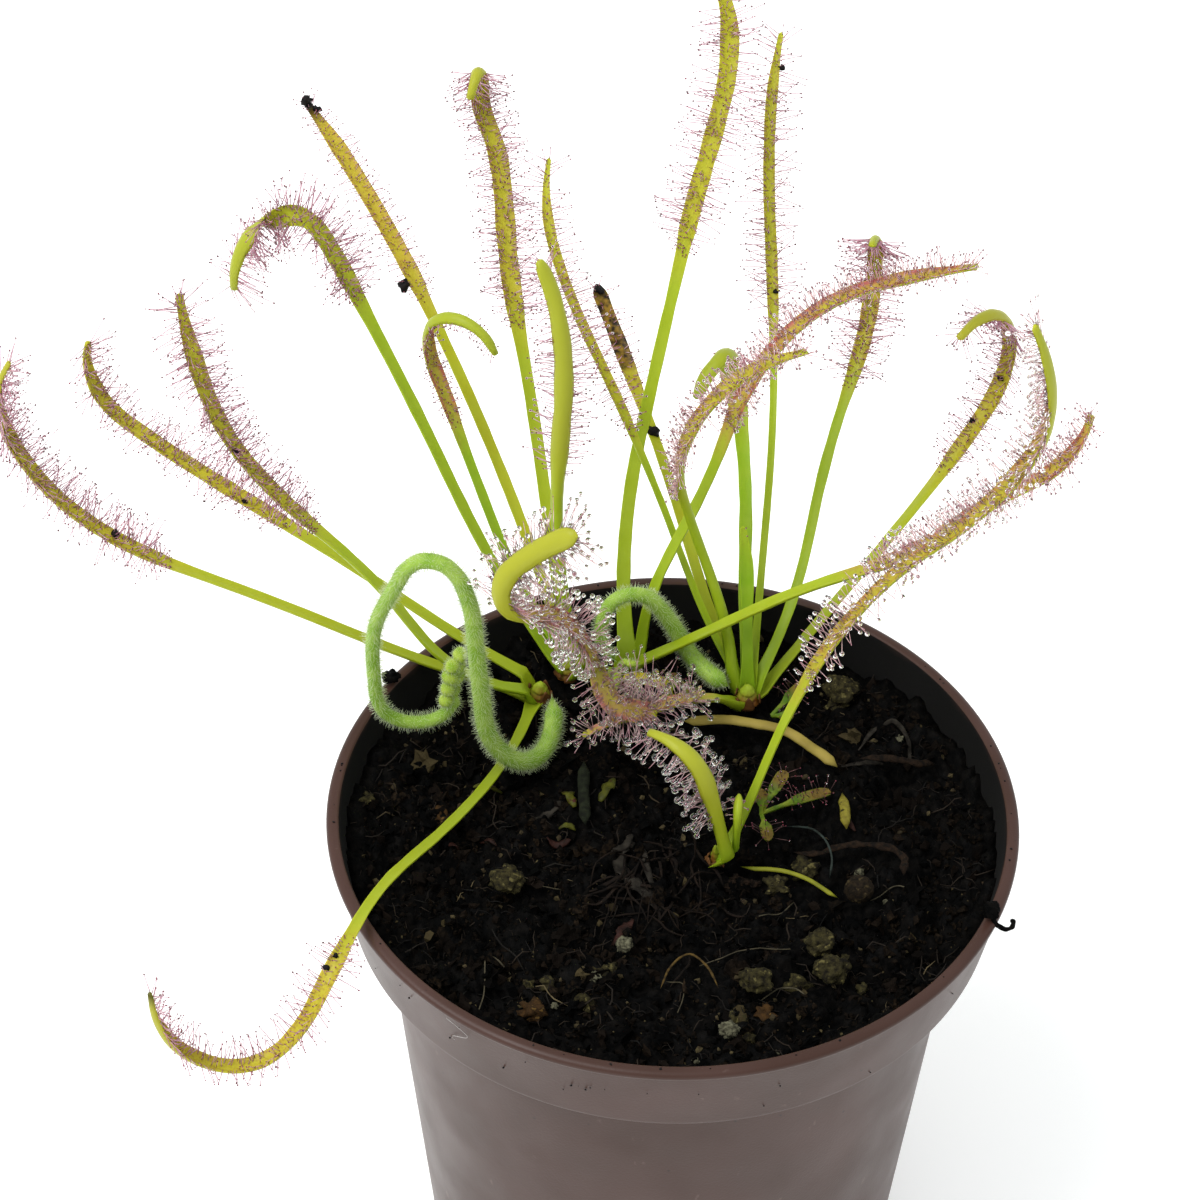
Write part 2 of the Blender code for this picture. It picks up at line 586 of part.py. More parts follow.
def build_rim_crumbs():
    """Crumbs of soil left on the lip, and the root that hangs in a loop beside one of them."""
    for seed, (name, (angle, radius)) in enumerate(RIM_CRUMBS.items()):
        bm = bmesh.new()
        rough_ball(bm, radius, 0.7, seed)
        low = min(vert.co.z for vert in bm.verts)
        centre = polar(RIM_RADIUS - LIP_WIDTH / 2, angle, POT_HEIGHT + GAP - low)
        bmesh.ops.translate(bm, vec=centre, verts=bm.verts)
        add_object(name, bm, "peat")

    outward = polar(1, RIM_CRUMBS["rim_crumb_right"][0])
    centre = outward * (RIM_RADIUS + ROOT_LOOP_RADIUS + 0.8) + Vector((0, 0, POT_HEIGHT + 0.4))
    up = Vector((0, 0, 1))
    rings = []
    turns = 12
    for i in range(turns):
        swing = math.radians(ROOT_LOOP_TURN * i / (turns - 1) - 215)
        arm = outward * math.cos(swing) + up * math.sin(swing)
        forward = outward * -math.sin(swing) + up * math.cos(swing)
        point = centre + arm * ROOT_LOOP_RADIUS
        rings.append(round_ring(point, forward, arm, ROOT_LOOP_THICKNESS / 2, 6))
    bm = bmesh.new()
    first = sum(rings[0], Vector()) / 6
    last = sum(rings[-1], Vector()) / 6
    loft(bm, first, rings, last)
    add_object("rim_root_loop", bm, "peat")


# ---------------------------------------------------------------- build
for old in list(bpy.data.objects):
    bpy.data.objects.remove(old, do_unlink=True)

build_pot()
SURFACE = build_soil()
for crown_name in CROWNS:
    build_crown(crown_name)
for one_leaf in LEAVES:
    build_leaf(one_leaf)
scape_left = build_scape(SCAPES[0])
scape_right = build_scape(SCAPES[1])
build_buds("flower_buds_left", scape_left, *BUDS["left"])
build_buds("flower_buds_right", scape_right, *BUDS["right"])
for one_stalk in LYING:
    build_lying(one_stalk)
add_lump("withered_leaf_ball", "dead_brown", *DRY_BALL, 0.8, 11)
for number, grain in enumerate(PUMICE):
    add_lump(f"pumice_grain_{number + 1}", "pumice", *grain, 0.7, number)
for number, grain in enumerate(PERLITE):
    add_lump(f"perlite_grain_{number + 1}", "perlite", *grain, 0.8, number)
for plantlet_name, (plantlet_place, plantlet_leaves) in PLANTLETS.items():
    build_plantlet(plantlet_name, plantlet_place, plantlet_leaves)
build_rim_crumbs()
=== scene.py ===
# %% [markdown]
# # A Cape sundew in a nursery pot
#
# A Cape sundew (*Drosera capensis*) catches flies with hairs that carry drops of clear glue. This
# one grows in a 9 cm pot of peat, with two young flower stalks that are still coiled, some seedlings
# and a litter of dead leaves.
#
# The solid model holds the true size and place of every piece. This lesson dresses it: it reads
# the middle lines of the leaves back out of the solids, sweeps smoother surfaces along them, and
# then lets Geometry Nodes grow what comes in thousands, which is the hairs, glands, drops, fuzz and
# crumbs of soil. Lengths are worked out in millimetres and become metres as a mesh is written.

# %% Load the solid model
import json
import math
import random
import bmesh
import bpy
import numpy as np
from mathutils import Euler, Matrix, Vector, noise
from mathutils.bvhtree import BVHTree
from mathutils.kdtree import KDTree

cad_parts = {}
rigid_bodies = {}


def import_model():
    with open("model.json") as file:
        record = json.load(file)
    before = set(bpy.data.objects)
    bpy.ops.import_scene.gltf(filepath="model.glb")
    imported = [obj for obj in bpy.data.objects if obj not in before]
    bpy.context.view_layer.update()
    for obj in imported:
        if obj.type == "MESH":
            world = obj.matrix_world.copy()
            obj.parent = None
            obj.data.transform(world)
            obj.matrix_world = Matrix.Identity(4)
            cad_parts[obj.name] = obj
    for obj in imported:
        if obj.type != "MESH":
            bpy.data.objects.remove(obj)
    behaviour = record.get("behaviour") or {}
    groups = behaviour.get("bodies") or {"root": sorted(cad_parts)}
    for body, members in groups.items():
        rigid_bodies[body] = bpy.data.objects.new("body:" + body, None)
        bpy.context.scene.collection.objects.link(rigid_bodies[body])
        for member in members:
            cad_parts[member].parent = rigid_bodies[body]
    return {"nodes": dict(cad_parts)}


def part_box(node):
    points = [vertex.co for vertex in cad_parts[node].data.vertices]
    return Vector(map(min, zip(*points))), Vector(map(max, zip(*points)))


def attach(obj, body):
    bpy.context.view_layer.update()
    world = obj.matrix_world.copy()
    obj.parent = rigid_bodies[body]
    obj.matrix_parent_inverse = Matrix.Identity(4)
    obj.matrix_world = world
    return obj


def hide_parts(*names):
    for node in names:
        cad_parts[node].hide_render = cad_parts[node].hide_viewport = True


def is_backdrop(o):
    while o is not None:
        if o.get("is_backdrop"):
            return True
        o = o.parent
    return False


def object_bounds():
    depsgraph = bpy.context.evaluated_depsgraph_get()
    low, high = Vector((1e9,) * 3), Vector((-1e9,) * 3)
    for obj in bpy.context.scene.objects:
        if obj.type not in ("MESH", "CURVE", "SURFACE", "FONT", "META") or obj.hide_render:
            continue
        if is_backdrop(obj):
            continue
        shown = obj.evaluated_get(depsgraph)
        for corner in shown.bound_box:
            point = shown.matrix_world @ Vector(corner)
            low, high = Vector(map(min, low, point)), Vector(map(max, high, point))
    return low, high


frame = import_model()
cad_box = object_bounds()
nodes = frame["nodes"]
MM = 0.001


def linked(name, data):
    """A new object in the scene that shows this data."""
    made = bpy.data.objects.new(name, data)
    bpy.context.scene.collection.objects.link(made)
    return made


print(len(nodes), "solids, box", cad_box)

# %% [markdown]
# ## Camera
#
# The pot is seen from the front and well above, through a long lens from about 65 cm, so that
# near and far leaves keep almost the same scale. A short lens would spread the leaves that rise
# towards the camera. The camera's three axes are worked out from its heading, its dip and a small
# roll, because that keeps each of them a number that can be turned by itself.

# %% Camera
CAMERA_PLACE = Vector((0, -406.96, 500.63)) * MM
HEADING = -0.02452
DIP = 0.7554
ROLL = 0.01872
LENS = 135.0

camera_data = bpy.data.cameras.new("camera")
camera_data.lens = LENS
camera_data.sensor_width = 36.0
camera_data.clip_start = 0.01
camera = linked("camera", camera_data)
ahead = Vector((math.sin(HEADING) * math.cos(DIP), math.cos(HEADING) * math.cos(DIP), -math.sin(DIP)))
level = ahead.cross(Vector((0, 0, 1))).normalized()
above = level.cross(ahead)
across = level * math.cos(ROLL) + above * math.sin(ROLL)
upward = above * math.cos(ROLL) - level * math.sin(ROLL)
camera_turn = Matrix((across, upward, -ahead)).transposed().to_4x4()
camera.matrix_world = Matrix.Translation(CAMERA_PLACE) @ camera_turn
bpy.context.scene.camera = camera
print("camera looks down", round(math.degrees(DIP), 1), "degrees")

# %% [markdown]
# ## Studio
#
# The plant stands in a white light tent: light comes softly from all round, a little more from
# above. A bright world does that with almost no noise, and one large lamp gives the drops and the
# plastic a highlight to show. The floor is a plain pale sheet that glows a little, as the sheet of
# a light table does, so that leaves are lit through from below and shadows stay faint.

# %% Small helpers for colours, nodes and pieces
def linear(hex_colour):
    """The linear RGBA of an sRGB hex colour."""
    shares = [int(hex_colour[i:i + 2], 16) / 255 for i in (0, 2, 4)]
    return tuple(c / 12.92 if c <= 0.04045 else ((c + 0.055) / 1.055) ** 2.4 for c in shares) + (1.0,)


def feed(tree, socket, value):
    """Link a socket from another socket, or set its value."""
    if isinstance(value, bpy.types.NodeSocket):
        tree.links.new(value, socket)
    else:
        socket.default_value = value


def in_use(sockets, name):
    """The one socket of this name that is in use. A node may have one for each kind of data."""
    return next(s for s in sockets if s.name == name and s.enabled)


def add(tree, kind, inputs=None, **settings):
    """Add one node to a tree. An input is a value, or the socket that it is linked from."""
    made = tree.nodes.new(kind)
    for name, value in settings.items():
        setattr(made, name, value)
    for name, value in (inputs or {}).items():
        feed(tree, made.inputs[name], value)
    return made


def new_material(name, colour, roughness, ior=1.45, specular=0.5):
    """A material and its tree and shader, with the plain numbers set on the shader itself."""
    made = bpy.data.materials.new(name)
    made.use_nodes = True
    shader = made.node_tree.nodes["Principled BSDF"]
    shader.inputs["Base Color"].default_value = linear(colour)
    shader.inputs["Roughness"].default_value = roughness
    shader.inputs["IOR"].default_value = ior
    shader.inputs["Specular IOR Level"].default_value = specular
    return made, made.node_tree, shader


def glow(shader, weight, radius, reach):
    """Let light wander under the skin: how much of it, how far in each colour, and the reach in mm."""
    shader.inputs["Subsurface Weight"].default_value = weight
    shader.inputs["Subsurface Radius"].default_value = radius
    shader.inputs["Subsurface Scale"].default_value = reach * MM


def as_mesh(shape, name, smooth=True):
    """Turn a bmesh into a mesh, and free it."""
    for face in shape.faces:
        face.smooth = smooth
    mesh = bpy.data.meshes.new(name)
    shape.to_mesh(mesh)
    shape.free()
    return mesh


def store(mesh, name, values, kind="FLOAT"):
    """Keep one number, or one vector, on each point of a mesh."""
    field = "vector" if kind == "FLOAT_VECTOR" else "value"
    mesh.attributes.new(name, kind, "POINT").data.foreach_set(field, np.array(values, float).reshape(-1))


def place(mesh, name, slot, *replaced):
    """Put a finished mesh in the scene as a piece, and hide the solids that it stands for."""
    piece = linked(name, mesh)
    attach(piece, "root")
    if replaced:
        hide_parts(*replaced)
    return piece


def dress(mesh, finish, slot, *replaced):
    """Give a mesh its material and put it in the scene under its own name."""
    mesh.materials.append(finish)
    place(mesh, mesh.name, slot, *replaced)


print("small helpers ready")

# %% Floor, lamp and world
shape = bmesh.new()
bmesh.ops.create_circle(shape, cap_ends=True, radius=3.0, segments=96)
floor = linked("floor", as_mesh(shape, "floor", smooth=False))
paper, _, shader = new_material("pale_paper", "F4F4F2", 0.9)
shader.inputs["Emission Color"].default_value = (1.0, 1.0, 1.0, 1.0)
shader.inputs["Emission Strength"].default_value = 0.3
floor.data.materials.append(paper)
floor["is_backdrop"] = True

world = bpy.data.worlds.new("light_tent")
world.use_nodes = True
sky = world.node_tree.nodes["Background"].inputs
sky["Color"].default_value = (0.95, 0.98, 1.0, 1.0)
sky["Strength"].default_value = 0.95
bpy.context.scene.world = world

LAMP_PLACE = Vector((-0.55, -0.25, 1.1))
lamp_data = bpy.data.lights.new("softbox", "AREA")
lamp_data.shape = "SQUARE"
lamp_data.size = 0.7
lamp_data.energy = 11.0
lamp = linked("softbox", lamp_data)
lamp.location = LAMP_PLACE
lamp.rotation_euler = (Vector((0, 0, 0.07)) - LAMP_PLACE).to_track_quat("-Z", "Y").to_euler()
bpy.context.scene.view_settings.view_transform = "Standard"
print("studio ready")

# %% [markdown]
# ## Patterns in millimetres
#
# Every pattern reads Object coordinates, so it stays fixed to its piece. They are multiplied by
# 1000 first, so that the scale of a Noise or Voronoi node is simply one over the real size in mm.

# %% Pattern helpers
def millimetres(tree, stretch=(1, 1, 1)):
    """Object coordinates in mm, stretched if need be."""
    place_in_object = add(tree, "ShaderNodeTexCoord").outputs["Object"]
    scale = tuple(1000.0 * s for s in stretch)
    return add(tree, "ShaderNodeMapping", {"Vector": place_in_object, "Scale": scale}).outputs["Vector"]


def noise_of(tree, size, detail, stretch=(1, 1, 1)):
    """Noise with features of about this size in mm, from 0 to 1."""
    return add(tree, "ShaderNodeTexNoise", {"Vector": millimetres(tree, stretch), "Scale": 1.0 / size,
                                            "Detail": detail}).outputs["Fac"]


def between(tree, value, low, high, to_low=0.0, to_high=1.0):
    """Map a value's range to another, held at its ends."""
    return add(tree, "ShaderNodeMapRange", {"Value": value, "From Min": low, "From Max": high,
                                            "To Min": to_low, "To Max": to_high}).outputs["Result"]


def blotches(tree, size, detail, low, high, to_low=0.0, to_high=1.0):
    """Noise of this size in mm with its middle values, from low to high, spread over a range."""
    return between(tree, noise_of(tree, size, detail), low, high, to_low, to_high)


def mix(tree, share, first, second):
    """Mix two colours, each a hex value or a socket, by a share."""
    first = linear(first) if isinstance(first, str) else first
    second = linear(second) if isinstance(second, str) else second
    made = add(tree, "ShaderNodeMix", data_type="RGBA")
    for name, value in (("Factor", share), ("A", first), ("B", second)):
        feed(tree, in_use(made.inputs, name), value)
    return in_use(made.outputs, "Result")


def product(tree, first, second, operation="MULTIPLY"):
    """The product of two numbers, or their sum or power if the operation says so."""
    return add(tree, "ShaderNodeMath", {0: first, 1: second}, operation=operation).outputs[0]


def paint(tree, shader, colour):
    """Let a socket give the colour of a shader."""
    tree.links.new(colour, shader.inputs["Base Color"])


def bump(tree, shader, height, depth):
    """Raise the surface by a height from 0 to 1 times a depth in mm."""
    made = add(tree, "ShaderNodeBump", {"Height": height, "Distance": depth * MM, "Strength": 1.0})
    tree.links.new(made.outputs["Normal"], shader.inputs["Normal"])


def own(tree, name):
    """A number that the piece carries on its own points."""
    return add(tree, "ShaderNodeAttribute", attribute_name=name).outputs["Fac"]


print("pattern helpers ready")

# %% [markdown]
# ## Pot
#
# A nursery pot is thin polypropylene, blown or moulded in one shot: a tapered body, a stepped
# collar that lets pots stack, and a rounded lip. Every corner has a small radius, and those radii
# are what catches the light. The solid has 48 flat sides, so here the same profile is turned again
# in 192 steps with rounded corners. A Bevel modifier could round it, but a profile that is rounded
# before it is turned gives cleaner bands of faces.

# %% Pot profile
RIM_RADIUS = 45.0
POT_HEIGHT = 80.0
SHOULDER = 67.5           # height at which the collar begins
COLLAR_FOOT_RADIUS = 42.4
STEP_RADIUS = 38.1
FOOT_RADIUS = 31.55
WALL = 1.2
FLOOR_TOP = 2.8
DRAIN_HOLES = 8
DRAIN_RADIUS = 2.6
DRAIN_CIRCLE = 18.0

pot_outline = [
    (0, 0), (12, 0), (12.6, 1.2), (23.4, 1.2), (24, 0), (FOOT_RADIUS - 0.9, 0), (FOOT_RADIUS, 0.9),
    (STEP_RADIUS, SHOULDER - 0.6), (STEP_RADIUS + 0.9, SHOULDER), (COLLAR_FOOT_RADIUS - 0.2, SHOULDER),
    (COLLAR_FOOT_RADIUS, SHOULDER + 0.5), (RIM_RADIUS - 0.5, POT_HEIGHT - 1.35),
    (RIM_RADIUS, POT_HEIGHT - 1.0), (RIM_RADIUS, POT_HEIGHT - 0.35), (RIM_RADIUS - 0.55, POT_HEIGHT),
    (RIM_RADIUS - 1.5, POT_HEIGHT), (RIM_RADIUS - 1.75, POT_HEIGHT - 0.4),
    (COLLAR_FOOT_RADIUS - WALL, SHOULDER + 1.2), (STEP_RADIUS - WALL + 0.5, SHOULDER - 0.4),
    (STEP_RADIUS - WALL, SHOULDER - 1.4), (FOOT_RADIUS - WALL, FLOOR_TOP + 0.9),
    (FOOT_RADIUS - WALL - 0.9, FLOOR_TOP), (0, FLOOR_TOP),
]


def rounded(outline, radius):
    """Replace each corner of an open outline by a small curve of four points."""
    result = [Vector(outline[0])]
    for before, corner, after in zip(outline, outline[1:], outline[2:]):
        before, corner, after = Vector(before), Vector(corner), Vector(after)
        reach = min(radius, (before - corner).length * 0.45, (after - corner).length * 0.45)
        start = corner + (before - corner).normalized() * reach
        end = corner + (after - corner).normalized() * reach
        for t in (0, 1 / 3, 2 / 3, 1):
            result.append(start * (1 - t) ** 2 + corner * 2 * t * (1 - t) + end * t * t)
    return result + [Vector(outline[-1])]


def collar_radius(z):
    """Radius in mm of the collar's outer face at a height."""
    return COLLAR_FOOT_RADIUS + (z - SHOULDER) / (POT_HEIGHT - SHOULDER) * (RIM_RADIUS - COLLAR_FOOT_RADIUS)


smooth_outline = rounded(pot_outline, 0.5)
print(len(smooth_outline), "points in the pot's profile")

# %% Turn the pot and drill it
POT_STEPS = 192
shape = bmesh.new()
columns = []
for step in range(POT_STEPS):
    turn = math.tau * step / POT_STEPS
    columns.append([shape.verts.new((p.x * math.cos(turn) * MM, p.x * math.sin(turn) * MM, p.y * MM))
                    for p in smooth_outline])
for one, other in zip(columns, columns[1:] + columns[:1]):
    for i in range(len(smooth_outline) - 1):
        shape.faces.new((one[i], other[i], other[i + 1], one[i + 1]))
bmesh.ops.remove_doubles(shape, verts=shape.verts, dist=1e-6)
bmesh.ops.recalc_face_normals(shape, faces=shape.faces)
blank = linked("pot_blank", as_mesh(shape, "pot_shell"))

shape = bmesh.new()
for i in range(DRAIN_HOLES):
    turn = math.tau * i / DRAIN_HOLES
    centre = Vector((DRAIN_CIRCLE * math.cos(turn), DRAIN_CIRCLE * math.sin(turn), 1.4)) * MM
    bmesh.ops.create_cone(shape, cap_ends=True, segments=32, radius1=DRAIN_RADIUS * MM,
                          radius2=DRAIN_RADIUS * MM, depth=0.011, matrix=Matrix.Translation(centre))
drill = linked("drain_drill", as_mesh(shape, "drain_drill", smooth=False))
cut = blank.modifiers.new("drain_holes", "BOOLEAN")
cut.operation = "DIFFERENCE"
cut.object = drill
depsgraph = bpy.context.evaluated_depsgraph_get()
pot_mesh = bpy.data.meshes.new_from_object(blank.evaluated_get(depsgraph), depsgraph=depsgraph)
for made in (drill, blank):
    bpy.data.objects.remove(made)
inside = []
for vert in pot_mesh.vertices:
    x, y, z = vert.co / MM
    inner_face = math.hypot(x, y) < collar_radius(z) - 0.75
    inside.append(1.0 if SHOULDER < z < POT_HEIGHT - 0.2 and inner_face else 0.0)
store(pot_mesh, "inside", inside)
place(pot_mesh, "pot_shell", "pot_plastic", "pot")
print("pot:", len(pot_mesh.polygons), "faces")

# %% [markdown]
# The plastic is polypropylene coloured through with brown. It has a satin skin that goes milky
# where it is seen at a glancing angle, a fine mould grain, and a few pale scuffs and dark specks.
# Inside, below the lip, the wall is painted nearly black, mixed in by height on the faces that carry the mark
# "inside": partly the stain of wet peat, partly painted shade of the pot's hollow.

# %% Moulded polypropylene
polypropylene, tree, shader = new_material("moulded_polypropylene", "3F2A22", 0.40, ior=1.49,
                                           specular=0.22)
cloudy = noise_of(tree, 22.0, 2.0)
body_colour = mix(tree, between(tree, cloudy, 0.35, 0.65), "3A251D", "46302A")
scuffs = between(tree, noise_of(tree, 3.0, 6.0, stretch=(1.0, 1.0, 0.6)), 0.69, 0.73)
body_colour = mix(tree, product(tree, scuffs, 0.16), body_colour, "8E7A72")
speck_cells = add(tree, "ShaderNodeTexVoronoi", {"Vector": millimetres(tree), "Scale": 0.25})
specks = between(tree, speck_cells.outputs["Distance"], 0.06, 0.035)
body_colour = mix(tree, product(tree, specks, 0.75), body_colour, "1A1310")
height = add(tree, "ShaderNodeSeparateXYZ", {"Vector": millimetres(tree)}).outputs["Z"]
ragged = product(tree, noise_of(tree, 6.0, 3.0), 3.0)
# Painted shade of the pot's hollow, together with peat stain: the inner wall goes nearly black below the lip.
inner_shade_and_stain = between(tree, product(tree, height, ragged, "ADD"), POT_HEIGHT + 3.0, POT_HEIGHT + 0.8, 0.5, 1.0)
body_colour = mix(tree, product(tree, inner_shade_and_stain, own(tree, "inside")), body_colour, "060504")
paint(tree, shader, body_colour)
skin = blotches(tree, 9.0, 4.0, 0.3, 0.7, 0.34, 0.44)
skin = product(tree, skin, product(tree, own(tree, "inside"), 0.5), "ADD")
tree.links.new(skin, shader.inputs["Roughness"])
bump(tree, shader, noise_of(tree, 0.35, 2.0), 0.02)
pot_mesh.materials.clear()
pot_mesh.materials.append(polypropylene)
print("pot dressed")

# %% [markdown]
# ## Soil
#
# The pot holds sieved peat: crumbs from dust to a few millimetres, roots and fibres, and some
# yellow pumice. Displacing a plain disc with noise gives rolling dunes, because noise alone has
# no overhangs and no edges. So the surface here is a fine sheet that follows the solid, broken
# into clods with cell noise, and Geometry Nodes then strews real crumbs and fibres over it.

# %% Soil sheet
def merged(node):
    """An editable copy of a solid, with the corners of its triangles joined."""
    made = bmesh.new()
    made.from_mesh(nodes[node].data)
    bmesh.ops.remove_doubles(made, verts=made.verts, dist=2e-6)
    return made


def write(points, faces, name, smooth=True):
    """A mesh from points in mm."""
    mesh = bpy.data.meshes.new(name)
    mesh.from_pydata((np.asarray(points, float) * MM).tolist(), [], faces)
    mesh.validate()
    mesh.polygons.foreach_set("use_smooth", [smooth] * len(mesh.polygons))
    return mesh


# Pieces that lie on the soil or stand in it. The soil stays below them within the first of these
# distances in mm, and no crumb is strewn nearer to them than the second.
KEPT_BELOW, KEPT_CLEAR = 1.3, 1.5
LOOSE = ["cut_leaf_stalk", "shed_leaf_stalk", "dead_leaf_stem", "dry_spotted_stick", "dead_leaf_right",
         "dead_leaf_front", "grey_root", "root_loop", "withered_leaf_ball", "seedling", "rosette",
         "side_plantlet", "crown_left", "crown_back_left", "crown_middle", "crown_right", "crown_front"]
under = []
for name in LOOSE:
    under += [tuple(v.co / MM) for v in nodes[name].data.vertices]
under = np.array(under)
under_tree = KDTree(len(under))
for i, (x, y, z) in enumerate(under):
    under_tree.insert((x, y, 0), i)
under_tree.balance()

solid_soil = merged("soil")
soil_tree = BVHTree.FromBMesh(solid_soil)
SOIL_RIM = max(math.hypot(v.co.x, v.co.y) for v in solid_soil.verts if v.co.z > 0.072) / MM
SOIL_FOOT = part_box("soil")[0].z / MM
solid_soil.free()


def solid_height(x, y):
    """Height of the solid soil, in mm."""
    far = math.hypot(x, y)
    shrink = min(1.0, (SOIL_RIM - 0.15) / max(far, 1e-6))
    hit = soil_tree.ray_cast(Vector((x * shrink * MM, y * shrink * MM, 0.1)), Vector((0, 0, -1)))[0]
    return hit.z / MM


def clods(x, y, size):
    """1 in the middle of a clod, 0 in the cracks between clods."""
    near, second = noise.voronoi(Vector((x, y, 3.7)) / size)[0][:2]
    share = min(max((second - near) / 0.35, 0.0), 1.0)
    return share * share * (3 - 2 * share)


# Where water has washed hollows in the peat: x, y, radius and depth in mm.
HOLLOWS = ((29, 12, 4.5, 1.8), (33, -4, 4.0, 1.6), (34, -17, 4.0, 2.4), (-12, -14, 5.0, 1.0),
           (-26, 10, 4.0, 1.4), (20, 1, 3.5, 1.2), (-5, -28, 3.0, 0.9))


def soil_height(x, y):
    """Height of the dressed soil, in mm."""
    point = Vector((x, y, 0))
    height = solid_height(x, y) - 0.5
    height += 1.2 * (clods(x, y, 5.2) - 0.5) + 0.8 * (clods(x + 40, y, 2.1) - 0.5)
    height += 1.5 * noise.fractal(point / 5.5, 0.9, 2.1, 5) + 0.5 * noise.noise(point / 0.9)
    edge = min(max((math.hypot(x, y) - SOIL_RIM + 6) / 6, 0.0), 1.0)
    height += edge * edge * (1.0 + 1.6 * min(max((abs(x) - 16) / 10, 0.0), 1.0))
    for centre_x, centre_y, radius, depth in HOLLOWS:
        height -= depth * math.exp(-((x - centre_x) ** 2 + (y - centre_y) ** 2) / radius ** 2)
    for _, index, _ in under_tree.find_range((x, y, 0), KEPT_BELOW):
        height = min(height, under[index][2] - 0.1)
    return height


WALL_FOOT = COLLAR_FOOT_RADIUS - WALL + 0.1    # the peat's edge lies against the inner wall
WALL_SLOPE = (RIM_RADIUS - 1.75 - WALL_FOOT) / (POT_HEIGHT - SHOULDER - 1.6)
RINGS, SECTORS = 92, 300
points = [(0, 0, soil_height(0, 0))]
for ring in range(1, RINGS + 1):
    far = SOIL_RIM * ring / RINGS
    for sector in range(SECTORS):
        turn = math.tau * (sector + 0.5 * (ring % 2)) / SECTORS
        x, y = far * math.cos(turn), far * math.sin(turn)
        z = soil_height(x, y)
        if ring == RINGS:
            at_wall = WALL_FOOT + (z - SHOULDER - 1.2) * WALL_SLOPE
            x, y = x * at_wall / far, y * at_wall / far
        points.append((x, y, z))
heights = [z for _, _, z in points]
print("soil surface from", round(min(heights), 1), "to", round(max(heights), 1), "mm")

# %% Close the soil and add its skirt
# Radius and height in mm of the rings that close the soil below, inside the wall of the pot.
SKIRT = ((SOIL_RIM, 69.6), (36.3, 66.0), (30.9, SOIL_FOOT + 1.0), (30.0, SOIL_FOOT))
top_count = len(points)
for far, z in SKIRT:
    for sector in range(SECTORS):
        turn = math.tau * (sector + 0.5 * (RINGS % 2)) / SECTORS
        points.append((far * math.cos(turn), far * math.sin(turn), z))
faces = [(0, 1 + s, 1 + (s + 1) % SECTORS) for s in range(SECTORS)]
last_ring = RINGS + len(SKIRT) - 1
for ring in range(last_ring):
    a, b = 1 + ring * SECTORS, 1 + (ring + 1) * SECTORS
    for s in range(SECTORS):
        t = (s + 1) % SECTORS
        faces.append((a + s, b + s, b + t, a + t))
faces.append(tuple(1 + last_ring * SECTORS + s for s in reversed(range(SECTORS))))
soil_mesh = write(points, faces, "soil_surface")
open_ground = np.array([1.0 if i < top_count and not under_tree.find_range((x, y, 0), KEPT_CLEAR)
                        and math.hypot(x, y) < SOIL_RIM - 0.8 else 0.0
                        for i, (x, y, _) in enumerate(points)])
store(soil_mesh, "open_ground", open_ground)
print("soil:", len(soil_mesh.polygons), "faces,", round(open_ground.mean(), 2), "of it open ground")

# %% [markdown]
# Wet peat is nearly black. What shows of it is a weak sheen on the tops of its crumbs and a few
# brown fibres, so its colour stays very dark. Its surface is porous at every scale, and pores
# swallow a mirror-like reflection, so the specular level is far below that of a smooth skin.

# %% Peat
peat, tree, shader = new_material("wet_peat", "020202", 0.8, ior=1.4, specular=0.06)
paint(tree, shader, mix(tree, blotches(tree, 1.1, 6.0, 0.42, 0.72), "020202", "0E0C0A"))
tree.links.new(blotches(tree, 2.3, 3.0, 0.35, 0.65, 0.55, 0.95), shader.inputs["Roughness"])
bump(tree, shader, noise_of(tree, 0.4, 5.0), 0.18)
dress(soil_mesh, peat, "peat", "soil")
print("soil dressed")

# %% [markdown]
# ## Strewing crumbs, fibres and grit
#
# One tree of Geometry Nodes does all the strewing. It picks points on the open ground, puts a
# model on each with a random turn and size, and stores one random number on each copy so that the
# material can vary their colours. The models are small: a crumb has 20 or 80 faces.

# %% Geometry Nodes helpers
def new_tree(name, sockets):
    """A Geometry Nodes tree with these named inputs, and its two ends."""
    made = bpy.data.node_groups.new(name, "GeometryNodeTree")
    made.interface.new_socket("Geometry", in_out="INPUT", socket_type="NodeSocketGeometry")
    for socket, kind in sockets.items():
        made.interface.new_socket(socket, in_out="INPUT", socket_type="NodeSocket" + kind)
    made.interface.new_socket("Geometry", in_out="OUTPUT", socket_type="NodeSocketGeometry")
    return made, made.nodes.new("NodeGroupInput").outputs, made.nodes.new("NodeGroupOutput").inputs


def run_tree(tree, mesh, name, **values):
    """Run a tree once over a mesh, and return its result as a plain mesh. Spaces in the inputs'
    names are written as underscores."""
    carrier = linked(name + "_carrier", mesh)
    modifier = carrier.modifiers.new("nodes", "NODES")
    modifier.node_group = tree
    identifiers = {item.name: item.identifier for item in tree.interface.items_tree
                   if item.item_type == "SOCKET" and item.in_out == "INPUT"}
    for key, value in values.items():
        modifier[identifiers[key.replace("_", " ")]] = value
    bpy.context.view_layer.update()
    graph = bpy.context.evaluated_depsgraph_get()
    result = bpy.data.meshes.new_from_object(carrier.evaluated_get(graph), preserve_all_data_layers=True,
                                             depsgraph=graph)
    bpy.data.objects.remove(carrier)
    result.name = name
    return result


def triangles(mesh):
    """How many triangles a mesh comes to."""
    return sum(len(p.vertices) - 2 for p in mesh.polygons)


def model(mesh):
    """An object that Geometry Nodes can copy. It is removed at the end."""
    made = linked(mesh.name, mesh)
    made.hide_render = True
    return made


def value_of(tree, name, kind="FLOAT"):
    """A value stored on the points of the geometry."""
    return add(tree, "GeometryNodeInputNamedAttribute", {"Name": name}, data_type=kind).outputs["Attribute"]


